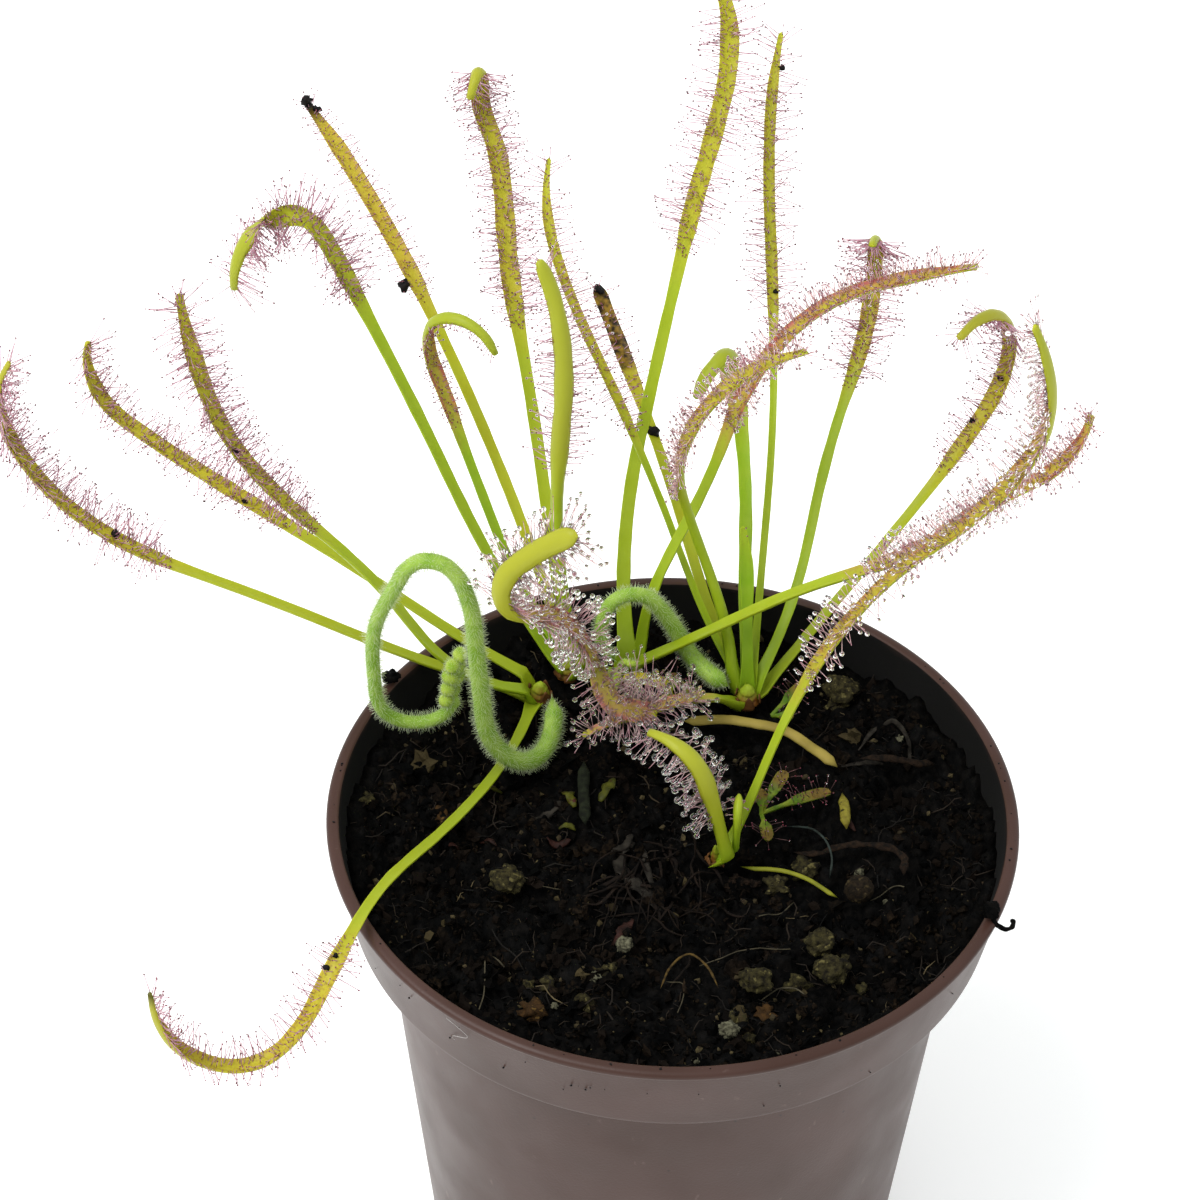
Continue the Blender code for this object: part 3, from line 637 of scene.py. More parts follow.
def chance(tree, low, high, seed, kind="FLOAT"):
    """A random number or vector for each point."""
    made = add(tree, "FunctionNodeRandomValue", {"Seed": seed}, data_type=kind)
    for name, value in (("Min", low), ("Max", high)):
        feed(tree, in_use(made.inputs, name), value)
    return in_use(made.outputs, "Value")


def copies_on(tree, points, thing, rotation, scale):
    """Copies of a model on points."""
    source = add(tree, "GeometryNodeObjectInfo", {"Object": thing}).outputs["Geometry"]
    return add(tree, "GeometryNodeInstanceOnPoints", {"Points": points, "Instance": source, "Scale": scale,
                                                      "Rotation": rotation}).outputs["Instances"]


def made_real(tree, copies, finish):
    """Copies turned into real geometry, with their material."""
    real = add(tree, "GeometryNodeRealizeInstances", {"Geometry": copies}).outputs["Geometry"]
    return add(tree, "GeometryNodeSetMaterial", {"Geometry": real, "Material": finish}).outputs["Geometry"]


print("Geometry Nodes helpers ready")

# %% Tree that strews a model over the ground
strew, given, result = new_tree("strew", {"Model": "Object", "Density": "Float", "Smallest": "Float",
                                          "Largest": "Float", "Tilt": "Float", "Seed": "Int",
                                          "Finish": "Material"})
spots = add(strew, "GeometryNodeDistributePointsOnFaces",
            {"Mesh": given["Geometry"], "Seed": given["Seed"],
             "Density": product(strew, given["Density"], value_of(strew, "open_ground"))},
            distribute_method="RANDOM")
lean = add(strew, "ShaderNodeCombineXYZ", {"X": given["Tilt"], "Y": given["Tilt"], "Z": math.pi})
back = add(strew, "ShaderNodeVectorMath", {0: lean.outputs[0], 1: (-1.0, -1.0, -1.0)},
           operation="MULTIPLY")
turn = chance(strew, back.outputs[0], lean.outputs[0], 11, "FLOAT_VECTOR")
rare = product(strew, chance(strew, 0.0, 1.0, 12), 2.2, "POWER")
size = between(strew, rare, 0.0, 1.0, given["Smallest"], given["Largest"])
copies = copies_on(strew, spots.outputs["Points"], given["Model"], turn, size)
tinted = add(strew, "GeometryNodeStoreNamedAttribute",
             {"Geometry": copies, "Name": "tint", "Value": chance(strew, 0.0, 1.0, 13)},
             data_type="FLOAT", domain="INSTANCE")
strew.links.new(made_real(strew, tinted.outputs["Geometry"], given["Finish"]), result["Geometry"])
print("strewing tree has", len(strew.nodes), "nodes")

# %% Models of a crumb, a grain and a fibre
def lump_mesh(name, faces_level, roughness, flatness, seed, smooth=True):
    """A rough ball of radius 1 mm."""
    made = bmesh.new()
    bmesh.ops.create_icosphere(made, subdivisions=faces_level, radius=1.0)
    for vert in made.verts:
        direction = vert.co.normalized()
        vert.co *= 1 + roughness * noise.noise(direction * 1.7 + Vector((seed * 9.1, 0, 0)))
        vert.co.z *= flatness
    bmesh.ops.scale(made, vec=(MM, MM, MM), verts=made.verts)
    return as_mesh(made, name, smooth)


def band(count, sides):
    """The faces between rings of points that follow one another."""
    return [(i * sides + s, i * sides + (s + 1) % sides, (i + 1) * sides + (s + 1) % sides,
             (i + 1) * sides + s) for i in range(count - 1) for s in range(sides)]


def flat_ends(count, sides):
    """One face over the first ring and one over the last."""
    return [tuple(reversed(range(sides))), tuple((count - 1) * sides + s for s in range(sides))]


def pointed_ends(count, sides):
    """Faces from the first and last ring to two points, which come after those of the rings."""
    foot, start = count * sides, (count - 1) * sides
    return ([(foot, (s + 1) % sides, s) for s in range(sides)]
            + [(foot + 1, start + s, start + (s + 1) % sides) for s in range(sides)])


def heading_at(line, i):
    """The way that a line of vectors runs at one of its points."""
    return (line[min(i + 1, len(line) - 1)] - line[max(i - 1, 0)]).normalized()


def tube(line, radii, sides=5):
    """Points and faces of a closed tube along a line, in mm."""
    line = [Vector(p) for p in line]
    points = []
    for i, centre in enumerate(line):
        forward = heading_at(line, i)
        level = Vector((0, 0, 1)) if abs(forward.z) < 0.95 else Vector((1, 0, 0))
        aside = forward.cross(level).normalized()
        over = aside.cross(forward)
        for s in range(sides):
            turn = math.tau * s / sides
            points.append(centre + (aside * math.cos(turn) + over * math.sin(turn)) * radii[i])
    return points, band(len(line), sides) + flat_ends(len(line), sides)


def wavy_fibre(name, length, thickness, seed):
    """A bent fibre of six parts that lies along X with its middle at the origin."""
    line = [((i / 6 - 0.5) * length, 0.22 * length * noise.noise(Vector((i * 0.45, seed, 0))),
             0.16 * length * noise.noise(Vector((i * 0.5, seed, 5)))) for i in range(7)]
    radii = [thickness / 2 * (1 - 0.6 * abs(2 * i / 6 - 1) ** 3) for i in range(7)]
    return write(*tube(line, radii, 3), name)


crumb_models = [model(lump_mesh(f"crumb_model_{i}", level, 1.5, 0.7, i, smooth=False))
                for i, level in enumerate((2, 1, 1))]
dust_model = model(lump_mesh("dust_model", 1, 1.2, 0.8, 7, smooth=False))
fibre_models = [model(wavy_fibre(f"fibre_model_{i}", 5.0, 0.2, i * 3.3)) for i in range(3)]
print("a crumb has", triangles(crumb_models[0].data), "triangles, a fibre", triangles(fibre_models[0].data))

# %% Strew the peat
crumb_peat, tree, shader = new_material("peat_crumbs", "0A0806", 0.85, ior=1.4, specular=0.06)
crumb_colour = mix(tree, between(tree, own(tree, "tint"), 0.45, 0.95), "020202", "130E0A")
clumps = product(tree, blotches(tree, 5.0, 3.0, 0.5, 0.68), blotches(tree, 0.5, 4.0, 0.4, 0.7))
crumb_colour = mix(tree, clumps, crumb_colour, "281F15")
crumb_colour = mix(tree, between(tree, own(tree, "tint"), 0.975, 0.98), crumb_colour, "3C3422")
paint(tree, shader, crumb_colour)
bump(tree, shader, noise_of(tree, 0.3, 4.0), 0.15)


def strewn(slot, name, thing, density, smallest, largest, tilt, seed, finish):
    """Strew copies of a model over the soil: how many on a square metre, and their sizes and tilt."""
    mesh = run_tree(strew, soil_mesh, name, Model=thing, Density=density, Smallest=smallest,
                    Largest=largest, Tilt=tilt, Seed=seed, Finish=finish)
    place(mesh, mesh.name, slot)
    print(mesh.name, triangles(mesh), "triangles")


ANY_WAY, NEARLY_FLAT = 3.1, 0.5        # the largest tilt in radians
for i, crumb in enumerate(crumb_models):
    strewn("peat", f"peat_crumbs_{i + 1}", crumb, 170e3 if i else 75e3, 0.25, 0.95 if i else 1.5, ANY_WAY,
           20 + i, crumb_peat)
strewn("peat", "peat_dust", dust_model, 420e3, 0.1, 0.42, ANY_WAY, 31, crumb_peat)

# %% Strew fibres and grit
fibre_brown, tree, shader = new_material("root_fibres", "2A2018", 0.75, specular=0.2)
fibre_colour = mix(tree, between(tree, own(tree, "tint"), 0.0, 0.9), "060504", "241C14")
fibre_colour = mix(tree, between(tree, own(tree, "tint"), 0.95, 1.0), fibre_colour, "64583E")
paint(tree, shader, fibre_colour)
for i, fibre in enumerate(fibre_models):
    strewn("peat", f"root_fibres_{i + 1}", fibre, 42e3, 0.25, 1.5, NEARLY_FLAT, 40 + i, fibre_brown)

grit_yellow, tree, shader = new_material("pumice_grit", "5A4C2E", 0.9, specular=0.2)
grit_colour = mix(tree, own(tree, "tint"), "1E170D", "4E452C")
paint(tree, shader, mix(tree, blotches(tree, 0.6, 3.0, 0.45, 0.7), grit_colour, "2B2117"))
bump(tree, shader, noise_of(tree, 0.3, 3.0), 0.1)
strewn("pumice", "pumice_grit", dust_model, 60e3, 0.08, 0.5, ANY_WAY, 50, grit_yellow)

# %% [markdown]
# ## Reading the leaves back from the solids
#
# A solid leaf is a chain of cross-sections with eight corners each. Walking the mesh back from
# the single corner at its tip gives those sections one after another, and from them the middle
# line, the two edges and the upper side. That keeps the dressed leaf exactly where the solid is,
# with no second table of curves that could drift away from it.

# %% Sections of a stem
def layers(start):
    """The corners of a mesh, sorted by how many edges away from the start they are."""
    seen, level, result = {start}, [start], []
    while level:
        result.append(level)
        found = []
        for vert in level:
            for edge in vert.link_edges:
                other = edge.other_vert(vert)
                if other not in seen:
                    seen.add(other)
                    found.append(other)
        level = found
    return result


def in_order(level):
    """The corners of one section, in order round it. Edges inside a flat end are passed over."""
    members, order = set(level), [level[0]]
    while len(order) < len(level):
        nearby = [edge.other_vert(order[-1]) for edge in order[-1].link_edges
                  if any(v not in members for face in edge.link_faces for v in face.verts)]
        order.append(next(v for v in nearby if v in members and v not in order))
    return np.array([v.co for v in order]) / MM


CROWNS = [name for name in nodes if name.startswith("crown_")]
crown_places = [(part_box(name)[0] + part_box(name)[1]) / 2 for name in CROWNS]
crown_feet = [np.array([middle.x, middle.y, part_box(name)[0].z]) / MM
              for name, middle in zip(CROWNS, crown_places)]


def sections_of(node):
    """The sections of a stem in mm, as an array of (section, corner, xyz), and its two ends. It
    starts at the end that is nearer to a crown."""
    made = merged(node)
    for start in made.verts:
        count = len(start.link_edges)
        if count not in (6, 8):
            continue
        chain = layers(start)
        whole = [level for level in chain if len(level) == count]
        pointed = len(chain[-1]) == 1
        if len(chain) > 3 and (pointed or len(chain[-1]) == count) and len(whole) + 1 >= len(chain) - pointed:
            break
    ends = [sum((v.co for v in level), Vector()) / len(level) for level in (chain[0], chain[-1])]
    rings = [in_order(level) for level in whole]
    reach = [min((end - crown).length for crown in crown_places) for end in ends]
    if reach[1] < reach[0]:
        rings.reverse()
        ends.reverse()
    made.free()
    aligned = [rings[0]]
    for ring in rings[1:]:
        turned = [np.roll(r, -k, axis=0) for r in (ring, ring[::-1]) for k in range(len(ring))]
        aligned.append(min(turned, key=lambda r: ((r - aligned[-1]) ** 2).sum()))
    rings = np.array(aligned)
    forward = rings[1].mean(0) - rings[0].mean(0)
    if np.dot(np.cross(rings[0][1] - rings[0][0], rings[0][2] - rings[0][1]), forward) < 0:
        rings = rings[:, ::-1]
    return rings, np.array(ends) / MM


def on_curve(a, b, c, d, t):
    """The point at share t of the way from b to c, on a smooth curve through all four."""
    return 0.5 * (2 * b + (c - a) * t + (2 * a - 5 * b + 4 * c - d) * t * t
                  + (3 * b - a - 3 * c + d) * t ** 3)


def finer(stations, parts):
    """Points on a smooth curve through the stations. parts gives the number for each gap."""
    before, after = 2 * stations[:1] - stations[1:2], 2 * stations[-1:] - stations[-2:-1]
    padded = np.concatenate([before, stations, after])
    result = [on_curve(a, b, c, d, i / count)
              for a, b, c, d, count in zip(padded, padded[1:], padded[2:], padded[3:], parts)
              for i in range(count)]
    return np.array(result + [stations[-1]])


def parts_of(line, spacing):
    """How many parts each gap of a line needs, so that its points lie about this far apart."""
    return [max(1, round(gap / spacing)) for gap in np.linalg.norm(np.diff(line, axis=0), axis=1)]


def distances(line):
    """How far along a line each of its points is."""
    return np.concatenate([[0], np.cumsum(np.linalg.norm(np.diff(line, axis=0), axis=1))])


def unit(vectors):
    """Vectors of length 1 that point the same ways."""
    return vectors / np.maximum(np.linalg.norm(vectors, axis=-1, keepdims=True), 1e-9)


def smooth_step(values, low, high):
    """0 below the low value and 1 above the high one, with a smooth way between."""
    t = np.clip((values - low) / (high - low), 0, 1)
    return t * t * (3 - 2 * t)


# Leaves that twist: at a share of the blade, the turn in degrees of the face that bears hairs.
TWISTED = {
    "leaf_tallest": ((0, 180),), "leaf_dewy_short": ((0, 180),),
    "leaf_left_arched": ((0.42, 180), (0.7, 0)),
    "leaf_nearest": ((-0.3, 0), (0, -115), (0.3, -95), (0.45, -45), (0.6, 20), (0.75, 55)),
}
# How wide a leaf is compared to its solid, at these three distances in mm from its tip.
WIDTH_PLACES = (-90, -40, -12)
SLENDER = {
    "leaf_back_kinked": (0.7, 0.68, 0.68), "leaf_back_slender": (0.8, 0.8, 0.8),
    "leaf_right_curled": (0.85, 0.9, 1.0), "leaf_tallest": (0.9, 0.75, 0.75),
    "leaf_near_upright": (0.9, 0.78, 0.78), "leaf_front_long": (0.7, 0.72, 1.25),
    "leaf_over_rim": (0.8, 0.85, 0.85), "leaf_front_broad": (0.85, 0.85, 0.9),
    "leaf_left_arched": (0.9, 1.0, 1.15), "leaf_short_drooping": (0.8, 0.8, 0.8),
    "leaf_crozier": (0.9, 1.15, 1.2),
}
USUAL_WIDTH = (0.9, 0.9, 0.9)
# Leaves that end round instead of in a point: the width in mm that they keep over their last part.
BLUNT = {"leaf_near_upright": 2.25, "leaf_browned": 2.1, "leaf_nearest": 2.9, "leaf_crozier": 2.3,
         "leaf_unrolling": 1.6}
BLUNT_PART, ROUND_TIP = 16, 1.4        # mm
CLASP_REACH = 9                        # mm from a crown at which a leaf still belongs to it
LEAF_SPACING = 0.9                     # mm between the sections of the dressed leaf


def strap_lines(node):
    """Lines along a leaf: the middle of its upper face, the ways to its side and up from it, its
    width, the depth of its channel and its thickness. Its two ends come last."""
    rings, ends = sections_of(node)
    widest = rings[len(rings) // 2]
    start = max(range(4), key=lambda i: np.linalg.norm(widest[i] - widest[i + 4]))
    rings = np.roll(rings, -start, axis=1)
    chord = (rings[:, 0] + rings[:, 4]) / 2
    hollow, back = (np.linalg.norm(rings[:, i] - chord, axis=1).sum() for i in (2, 6))
    if hollow > back:
        rings = np.roll(rings, -4, axis=1)
    lines = finer(rings, parts_of(rings[:, 2], LEAF_SPACING))
    upper, lower = lines[:, 2], lines[:, 6]
    side = unit(lines[:, 4] - lines[:, 0])
    rise = unit(upper - lower)
    rise = unit(rise - side * (rise * side).sum(1, keepdims=True))
    width = np.linalg.norm(lines[:, 4] - lines[:, 0], axis=1)
    channel = (((lines[:, 0] + lines[:, 4]) / 2 - upper) * rise).sum(1)
    thickness = np.linalg.norm(upper - lower, axis=1)
    far = distances(upper)
    width = width * np.interp(far - far[-1], WIDTH_PLACES, SLENDER.get(node, USUAL_WIDTH))
    left = far[-1] - far
    round_end = BLUNT.get(node, 0) * np.sqrt(np.clip((left + 0.15) / ROUND_TIP, 0, 1))
    width = np.where(left < BLUNT_PART, np.maximum(width, round_end), width)
    return upper, side, rise, width, channel, thickness, ends


def down_to_crown(upper, side, rise, width, channel, thickness, ends):
    """The same lines, with the foot led down into the nearest crown and widened to clasp it."""
    crown = min(crown_feet, key=lambda c: np.linalg.norm(c - upper[0]))
    if np.linalg.norm(crown - upper[0]) < CLASP_REACH:
        pull = 0.9 if crown[1] < 0 else 0.6    # the front crown is small, so its leaves meet closer
        target = np.array([*(pull * crown[:2] + (1 - pull) * upper[0][:2]), crown[2] + 0.4])
        shares = np.linspace(0, 1, 5)[:-1, None]
        upper = np.concatenate([target * (1 - shares) + upper[0] * shares, upper])
        side, rise, width, channel, thickness = (np.concatenate([v[:1]] * 4 + [v])
                                                 for v in (side, rise, width, channel, thickness))
        ends = np.array([target + (target - upper[1]) * 0.2, ends[1]])
    clasp = 1 - smooth_step(distances(upper), 0.5, 5.0)
    return (upper, side, rise, width * (1 + 0.35 * clasp), channel + 0.3 * clasp,
            thickness * (1 + 0.5 * clasp), ends)


def twist(name, share, upper, side, rise, thickness):
    """The lines after the leaf's own twist about the middle of its thickness."""
    if name not in TWISTED:
        return upper, side, rise
    turn = np.radians(np.interp(share, *zip(*TWISTED[name])))[:, None]
    core = upper - rise * thickness[:, None] / 2
    side, rise = side * np.cos(turn) + rise * np.sin(turn), rise * np.cos(turn) - side * np.sin(turn)
    return core + rise * thickness[:, None] / 2, side, rise


for name in ("leaf_tallest", "leaf_young_upright", "leaf_front_crozier"):
    width, channel, thickness = strap_lines(name)[3:6]
    print(name, len(width), "sections, width", width.min().round(2), "to", width.max().round(2),
          "mm, thickness", thickness.max().round(2), "mm, channel", channel.max().round(2), "mm")

# %% [markdown]
# ## Leaves
#
# A leaf of this plant is a round-backed stalk that widens into a strap about 3 mm wide with a shallow
# channel. The surface is swept with twelve points round and a section every 0.9 mm. Each point
# also stores what the material and the hairs need to know: how far along the blade it is, how far
# across, whether it is on the upper face, and the way a hair would grow from it.
#
# Each leaf has its own age. Young leaves are lime green; old ones yellow, then brown from the tip.

# %% What sets each leaf apart
# Blade length, age, blush of the upper face, hair length, hair spacing, share of hairs with a drop,
# drop diameter. Lengths are in mm.
LEAF_LOOKS = {
    "leaf_far_left": (41, 0.80, 0.18, 4.4, 0.21, 0.30, 0.34),
    "leaf_left_low": (41, 0.75, 0.25, 3.4, 0.23, 0.30, 0.34),
    "leaf_left_raised": (37, 0.50, 0.40, 3.7, 0.175, 0.25, 0.34),
    "leaf_left_arched": (29, 0.35, 0.08, 4.6, 0.155, 0.30, 0.34),
    "leaf_back_left_old": (33, 0.95, 0.45, 1.9, 0.36, 0.25, 0.30),
    "leaf_unrolling": (28, 0.15, 1.60, 1.1, 0.30, 0.40, 0.30),
    "leaf_back_hooked": (42, 0.60, 0.35, 3.3, 0.25, 0.45, 0.36),
    "leaf_near_upright": (31, 0.45, 0.25, 3.2, 0.28, 0.40, 0.36),
    "leaf_back_kinked": (39, 0.40, 0.40, 3.0, 0.30, 0.40, 0.36),
    "leaf_browned": (16, 0.90, 0.40, 2.0, 0.50, 0.40, 0.36),
    "leaf_tallest": (39, 0.50, 0.25, 4.0, 0.30, 0.35, 0.34),
    "leaf_back_slender": (41, 0.45, 0.35, 3.6, 0.27, 0.35, 0.34),
    "leaf_balled": (28, 0.35, 0.60, 3.9, 0.19, 0.40, 0.36),
    "leaf_right_arched": (42, 0.40, 1.60, 2.6, 0.17, 0.50, 0.37),
    "leaf_dewy_short": (29, 0.40, 0.90, 2.9, 0.19, 0.60, 0.40),
    "leaf_crozier": (20, 0.15, 0.10, 0.5, 0.80, 0.30, 0.30),
    "leaf_right_curled": (38, 0.75, 0.30, 3.2, 0.28, 0.40, 0.36),
    "leaf_right_low": (38, 0.55, 1.60, 2.9, 0.18, 0.60, 0.42),
    "leaf_front_long": (64, 0.50, 1.00, 3.7, 0.29, 0.65, 0.60),
    "leaf_over_rim": (43, 0.80, 0.40, 3.4, 0.34, 0.15, 0.30),
    "leaf_nearest": (46, 0.60, 1.80, 3.9, 0.27, 0.75, 0.68),
    "leaf_short_drooping": (18, 0.60, 2.00, 3.8, 0.20, 0.75, 0.72),
    "leaf_front_broad": (17, 0.50, 1.60, 3.5, 0.23, 0.90, 0.82),
    "leaf_front_crozier": (6, 0.05, 0.0, 0.9, 0.50, 0.80, 0.40),
    "leaf_young_upright": (1, 0.05, 0.0, 0.3, 0.90, 0.0, 0.30),
}
# The share of the blade from which a leaf is browned. The others are not browned at all.
BROWNED = {"leaf_back_left_old": 0.86, "leaf_browned": 0.15, "leaf_over_rim": 0.93}
NOT_BROWNED = 9
# The twelve points of a section: how far across they are, and how much they belong to the upper face.
ACROSS = np.array([-1, -0.84, -0.5, 0, 0.5, 0.84, 1, 0.86, 0.5, 0, -0.5, -0.86])
ON_TOP = np.array([0.6, 1, 1, 1, 1, 1, 0.6, 0, 0, 0, 0, 0])


def leaf_mesh(name, lines=None):
    """The swept surface of a leaf, with the values that its finish and its hairs need."""
    blade, age, blush, hair = LEAF_LOOKS[name][:4]
    browned = BROWNED.get(name, NOT_BROWNED)
    upper, side, rise, width, channel, thickness, ends = lines or down_to_crown(*strap_lines(name))
    along = distances(upper)
    along = along - along[-1] + blade
    upper, side, rise = twist(name, along / blade, upper, side, rise, thickness)
    seed = sum(map(ord, name)) * 0.37
    ripple = np.array([[noise.noise(Vector((a * 0.33, seed, k))) for k in (0, 9)] for a in along])
    width = width * (1 + 0.10 * ripple[:, 0])
    half = (width / 2)[:, None]
    on_top = ON_TOP > 0.5
    belly = thickness[:, None] * np.sqrt(np.maximum(0, 1 - ACROSS ** 2))
    height = channel[:, None] * ACROSS ** 2 - np.where(on_top, 0.0, belly)
    height = height + np.where(on_top, 0.06 * ripple[:, 1:2] * ACROSS, 0.0)
    points = upper[:, None] + side[:, None] * (ACROSS * half)[..., None] + rise[:, None] * height[..., None]
    count, sides = points.shape[:2]
    faces = band(count, sides) + pointed_ends(count, sides)
    mesh = write(np.concatenate([points.reshape(-1, 3), ends]), faces, name + "_surface")

    share = along / blade
    ahead = unit(np.gradient(upper, axis=0))
    tipward = smooth_step(share, 0.9, 1.0)
    aim = (side[:, None] * (1.5 * ACROSS)[:, None] + rise[:, None] * (1.15 - 0.8 * ACROSS ** 2)[:, None]
           + ahead[:, None] * (1.1 * tipward)[:, None, None])
    vigour = smooth_step(share, -0.03, 0.10) * (1 + 0.10 * tipward)
    reach = hair * vigour[:, None] * (0.45 + 0.55 * np.abs(ACROSS) ** 1.5)
    crowd = ((share > -0.01) * (1 + 0.8 * tipward))[:, None] * (0.5 + 0.5 * ACROSS ** 2)
    stored = {"across": np.tile(ACROSS, count), "along": np.repeat(along, sides),
              "share": np.repeat(share, sides), "on_top": np.tile(ON_TOP, count),
              "age": np.full(count * sides, age), "blush": np.full(count * sides, blush),
              "withered": np.repeat(smooth_step(share, browned, browned + 0.1), sides),
              "reach": reach.reshape(-1) * MM, "crowd": crowd.reshape(-1)}
    for key, values in stored.items():
        store(mesh, key, np.concatenate([values, [values[3], values[(count - 1) * sides + 3]]]))
    store(mesh, "aim", np.concatenate([aim.reshape(-1, 3), -ahead[:1], ahead[-1:]]), "FLOAT_VECTOR")
    return mesh


leaf_meshes = {name: leaf_mesh(name) for name in LEAF_LOOKS}


def bent_lines(stations, widest, face):
    """Lines of a short strap through a few points in mm, as for strap_lines, with its hairy side
    towards face."""
    upper = finer(np.array(stations, float), [6] * (len(stations) - 1))
    ahead = unit(np.gradient(upper, axis=0))
    side = unit(np.cross(ahead, face))
    share = np.linspace(0, 1, len(upper))
    width = widest * (0.7 + 0.3 * smooth_step(share, 0, 0.4)) * (1 - 0.4 * smooth_step(share, 0.85, 1.0))
    ends = np.array([upper[0] - ahead[0] * 0.1, upper[-1] + ahead[-1] * 0.3])
    return upper, side, np.cross(side, ahead), width, 0.14 * width, np.full(len(upper), 0.45), ends


# The fold of the nearest leaf, and a small leaf of the rosette below it.
LEAF_LOOKS["leaf_nearest_fold"] = (11, 0.60, 2.00, 3.8, 0.18, 0.70, 0.60)
LEAF_LOOKS["rosette_tall_leaf"] = (6.5, 0.90, 0.30, 3.6, 0.40, 0.85, 0.50)
leaf_meshes["leaf_nearest_fold"] = leaf_mesh("leaf_nearest_fold", bent_lines(
    [(-10.8, 16.4, 90.2), (-10.0, 14.9, 88.4), (-8.4, 13.2, 86.4), (-5.2, 13.0, 85.2), (-2.8, 14.0, 84.2)],
    3.0, (0, -0.7, 0.7)))
leaf_meshes["rosette_tall_leaf"] = leaf_mesh("rosette_tall_leaf", bent_lines(
    [(-1.0, 26.0, 75.3), (-1.9, 25.8, 77.8), (-4.4, 25.2, 79.2), (-7.1, 24.6, 79.8)], 1.7, (0, -0.5, 0.87)))
print(len(leaf_meshes), "leaves,", sum(triangles(m) for m in leaf_meshes.values()), "triangles")

# %% [markdown]
# A living leaf is thin and wet inside, so light passes through it: it glows yellow-green against
# the white tent. Subsurface scattering over half a millimetre gives that. On the blade's upper
# face each hair stands on a small dark red foot, so the face looks dotted and, on leaves that had
# much sun, red all over. The under face stays plain green with faint slanting veins.

# %% Living leaf
living_leaf, tree, shader = new_material("living_leaf", "8CA81C", 0.42, ior=1.42, specular=0.25)
age, blush = own(tree, "age"), own(tree, "blush")
stalk_green = mix(tree, age, "7EA416", "A6A61C")
stalk_green = mix(tree, blotches(tree, 3.0, 4.0, 0.35, 0.7, 0.0, 0.3), stalk_green, "A6B43A")
height_for_painted_shade = add(tree, "ShaderNodeSeparateXYZ", {"Vector": millimetres(tree)}).outputs["Z"]
# Painted shade: the stalks are darkened towards the soil, from a height of 88 mm down to 75 mm.
stalk_green = mix(tree, between(tree, height_for_painted_shade, 88.0, 75.0, 0.0, 0.5), stalk_green, "5C7A0A")
on_blade = between(tree, own(tree, "along"), -5.0, 5.0)
blade_green = mix(tree, age, "A4B41E", "B8AC2A")
leaf_colour = mix(tree, on_blade, stalk_green, blade_green)
foot_cells = add(tree, "ShaderNodeTexVoronoi", {"Vector": millimetres(tree), "Scale": 2.1})
feet = between(tree, foot_cells.outputs["Distance"], 0.42, 0.22)
patches = blotches(tree, 2.2, 3.0, 0.3, 0.62)
upper_face = product(tree, on_blade, between(tree, own(tree, "on_top"), 0.55, 0.9))
dots = product(tree, upper_face, product(tree, feet, between(tree, patches, 0.0, 1.0, 0.3, 0.95)))
near_edge = between(tree, product(tree, own(tree, "across"), own(tree, "across")), 0.0, 1.0, 0.3, 1.0)
reddened = product(tree, product(tree, blush, near_edge), between(tree, patches, 0, 1, 0.35, 1.0))
reddened = product(tree, reddened, between(tree, own(tree, "share"), 0.99, 0.93))
blush_colour = mix(tree, between(tree, blush, 1.5, 2.0), "A8504A", "B8756A")
leaf_colour = mix(tree, product(tree, upper_face, reddened), leaf_colour, blush_colour)
leaf_colour = mix(tree, product(tree, dots, 0.4), leaf_colour, "7A4028")
under_face = product(tree, on_blade, between(tree, own(tree, "on_top"), 0.5, 0.2, 0.0, 0.4))
leaf_colour = mix(tree, under_face, leaf_colour, "7E8430")
browned_skin = mix(tree, blotches(tree, 0.9, 4.0, 0.36, 0.6), "241809", "8C6E20")
dried_up = between(tree, own(tree, "share"), 0.86, 0.97)
browned_skin = mix(tree, dried_up, browned_skin, "15110D")
leaf_colour = mix(tree, own(tree, "withered"), leaf_colour, browned_skin)
paint(tree, shader, leaf_colour)
glow(shader, 0.35, (1.0, 1.0, 0.3), 0.5)
bump(tree, shader, noise_of(tree, 0.9, 2.0, stretch=(1.0, 1.0, 0.3)), 0.06)
for name, mesh in leaf_meshes.items():
    dress(mesh, living_leaf, "leaf", *([name] if name in nodes else []))
print("leaves dressed")

# %% [markdown]
# ## Hairs, glands and drops
#
# Each blade carries several hundred hairs, and some over a thousand. A hair is a thin mauve stalk,
# half as long in the middle of the blade as at its edge, where it reaches 3 mm or more and leans
# outwards. It ends in a red gland the size of a pin-prick, and many glands carry a clear drop.
# Particle hair would be lost in the export, so Geometry Nodes copies small models instead and makes
# them real: a stalk, a gland and a drop, with plainer ones where the drops are small. Real stalks
# are 0.1 mm thick; these are half as thick again, because a thinner one would not show.

# %% Models of a hair stalk, a gland and a drop
def hair_model(name, foot, top, bow, pieces):
    """A stalk 1 mm long and 1 mm thick at its foot that bows a little and ends over its foot."""
    line = [(bow * math.sin(math.pi * i / pieces), 0, i / pieces) for i in range(pieces + 1)]
    radii = [foot + (top - foot) * (i / pieces) ** 0.5 for i in range(pieces + 1)]
    return model(write(*tube(line, radii, 3), name))


stalk_model = hair_model("stalk_model", 0.5, 0.28, 0.15, pieces=3)
plain_stalk_model = hair_model("plain_stalk_model", 0.5, 0.3, 0.12, pieces=2)
shape = bmesh.new()
bmesh.ops.create_uvsphere(shape, u_segments=4, v_segments=2, radius=MM)
gland_model = model(as_mesh(shape, "gland_model"))
drop_model = model(lump_mesh("drop_model", 2, 0.0, 1.08, 1))
small_drop_model = model(lump_mesh("small_drop_model", 1, 0.0, 1.08, 1))
print("a hair has", sum(triangles(m.data) for m in (stalk_model, gland_model, drop_model)), "triangles")

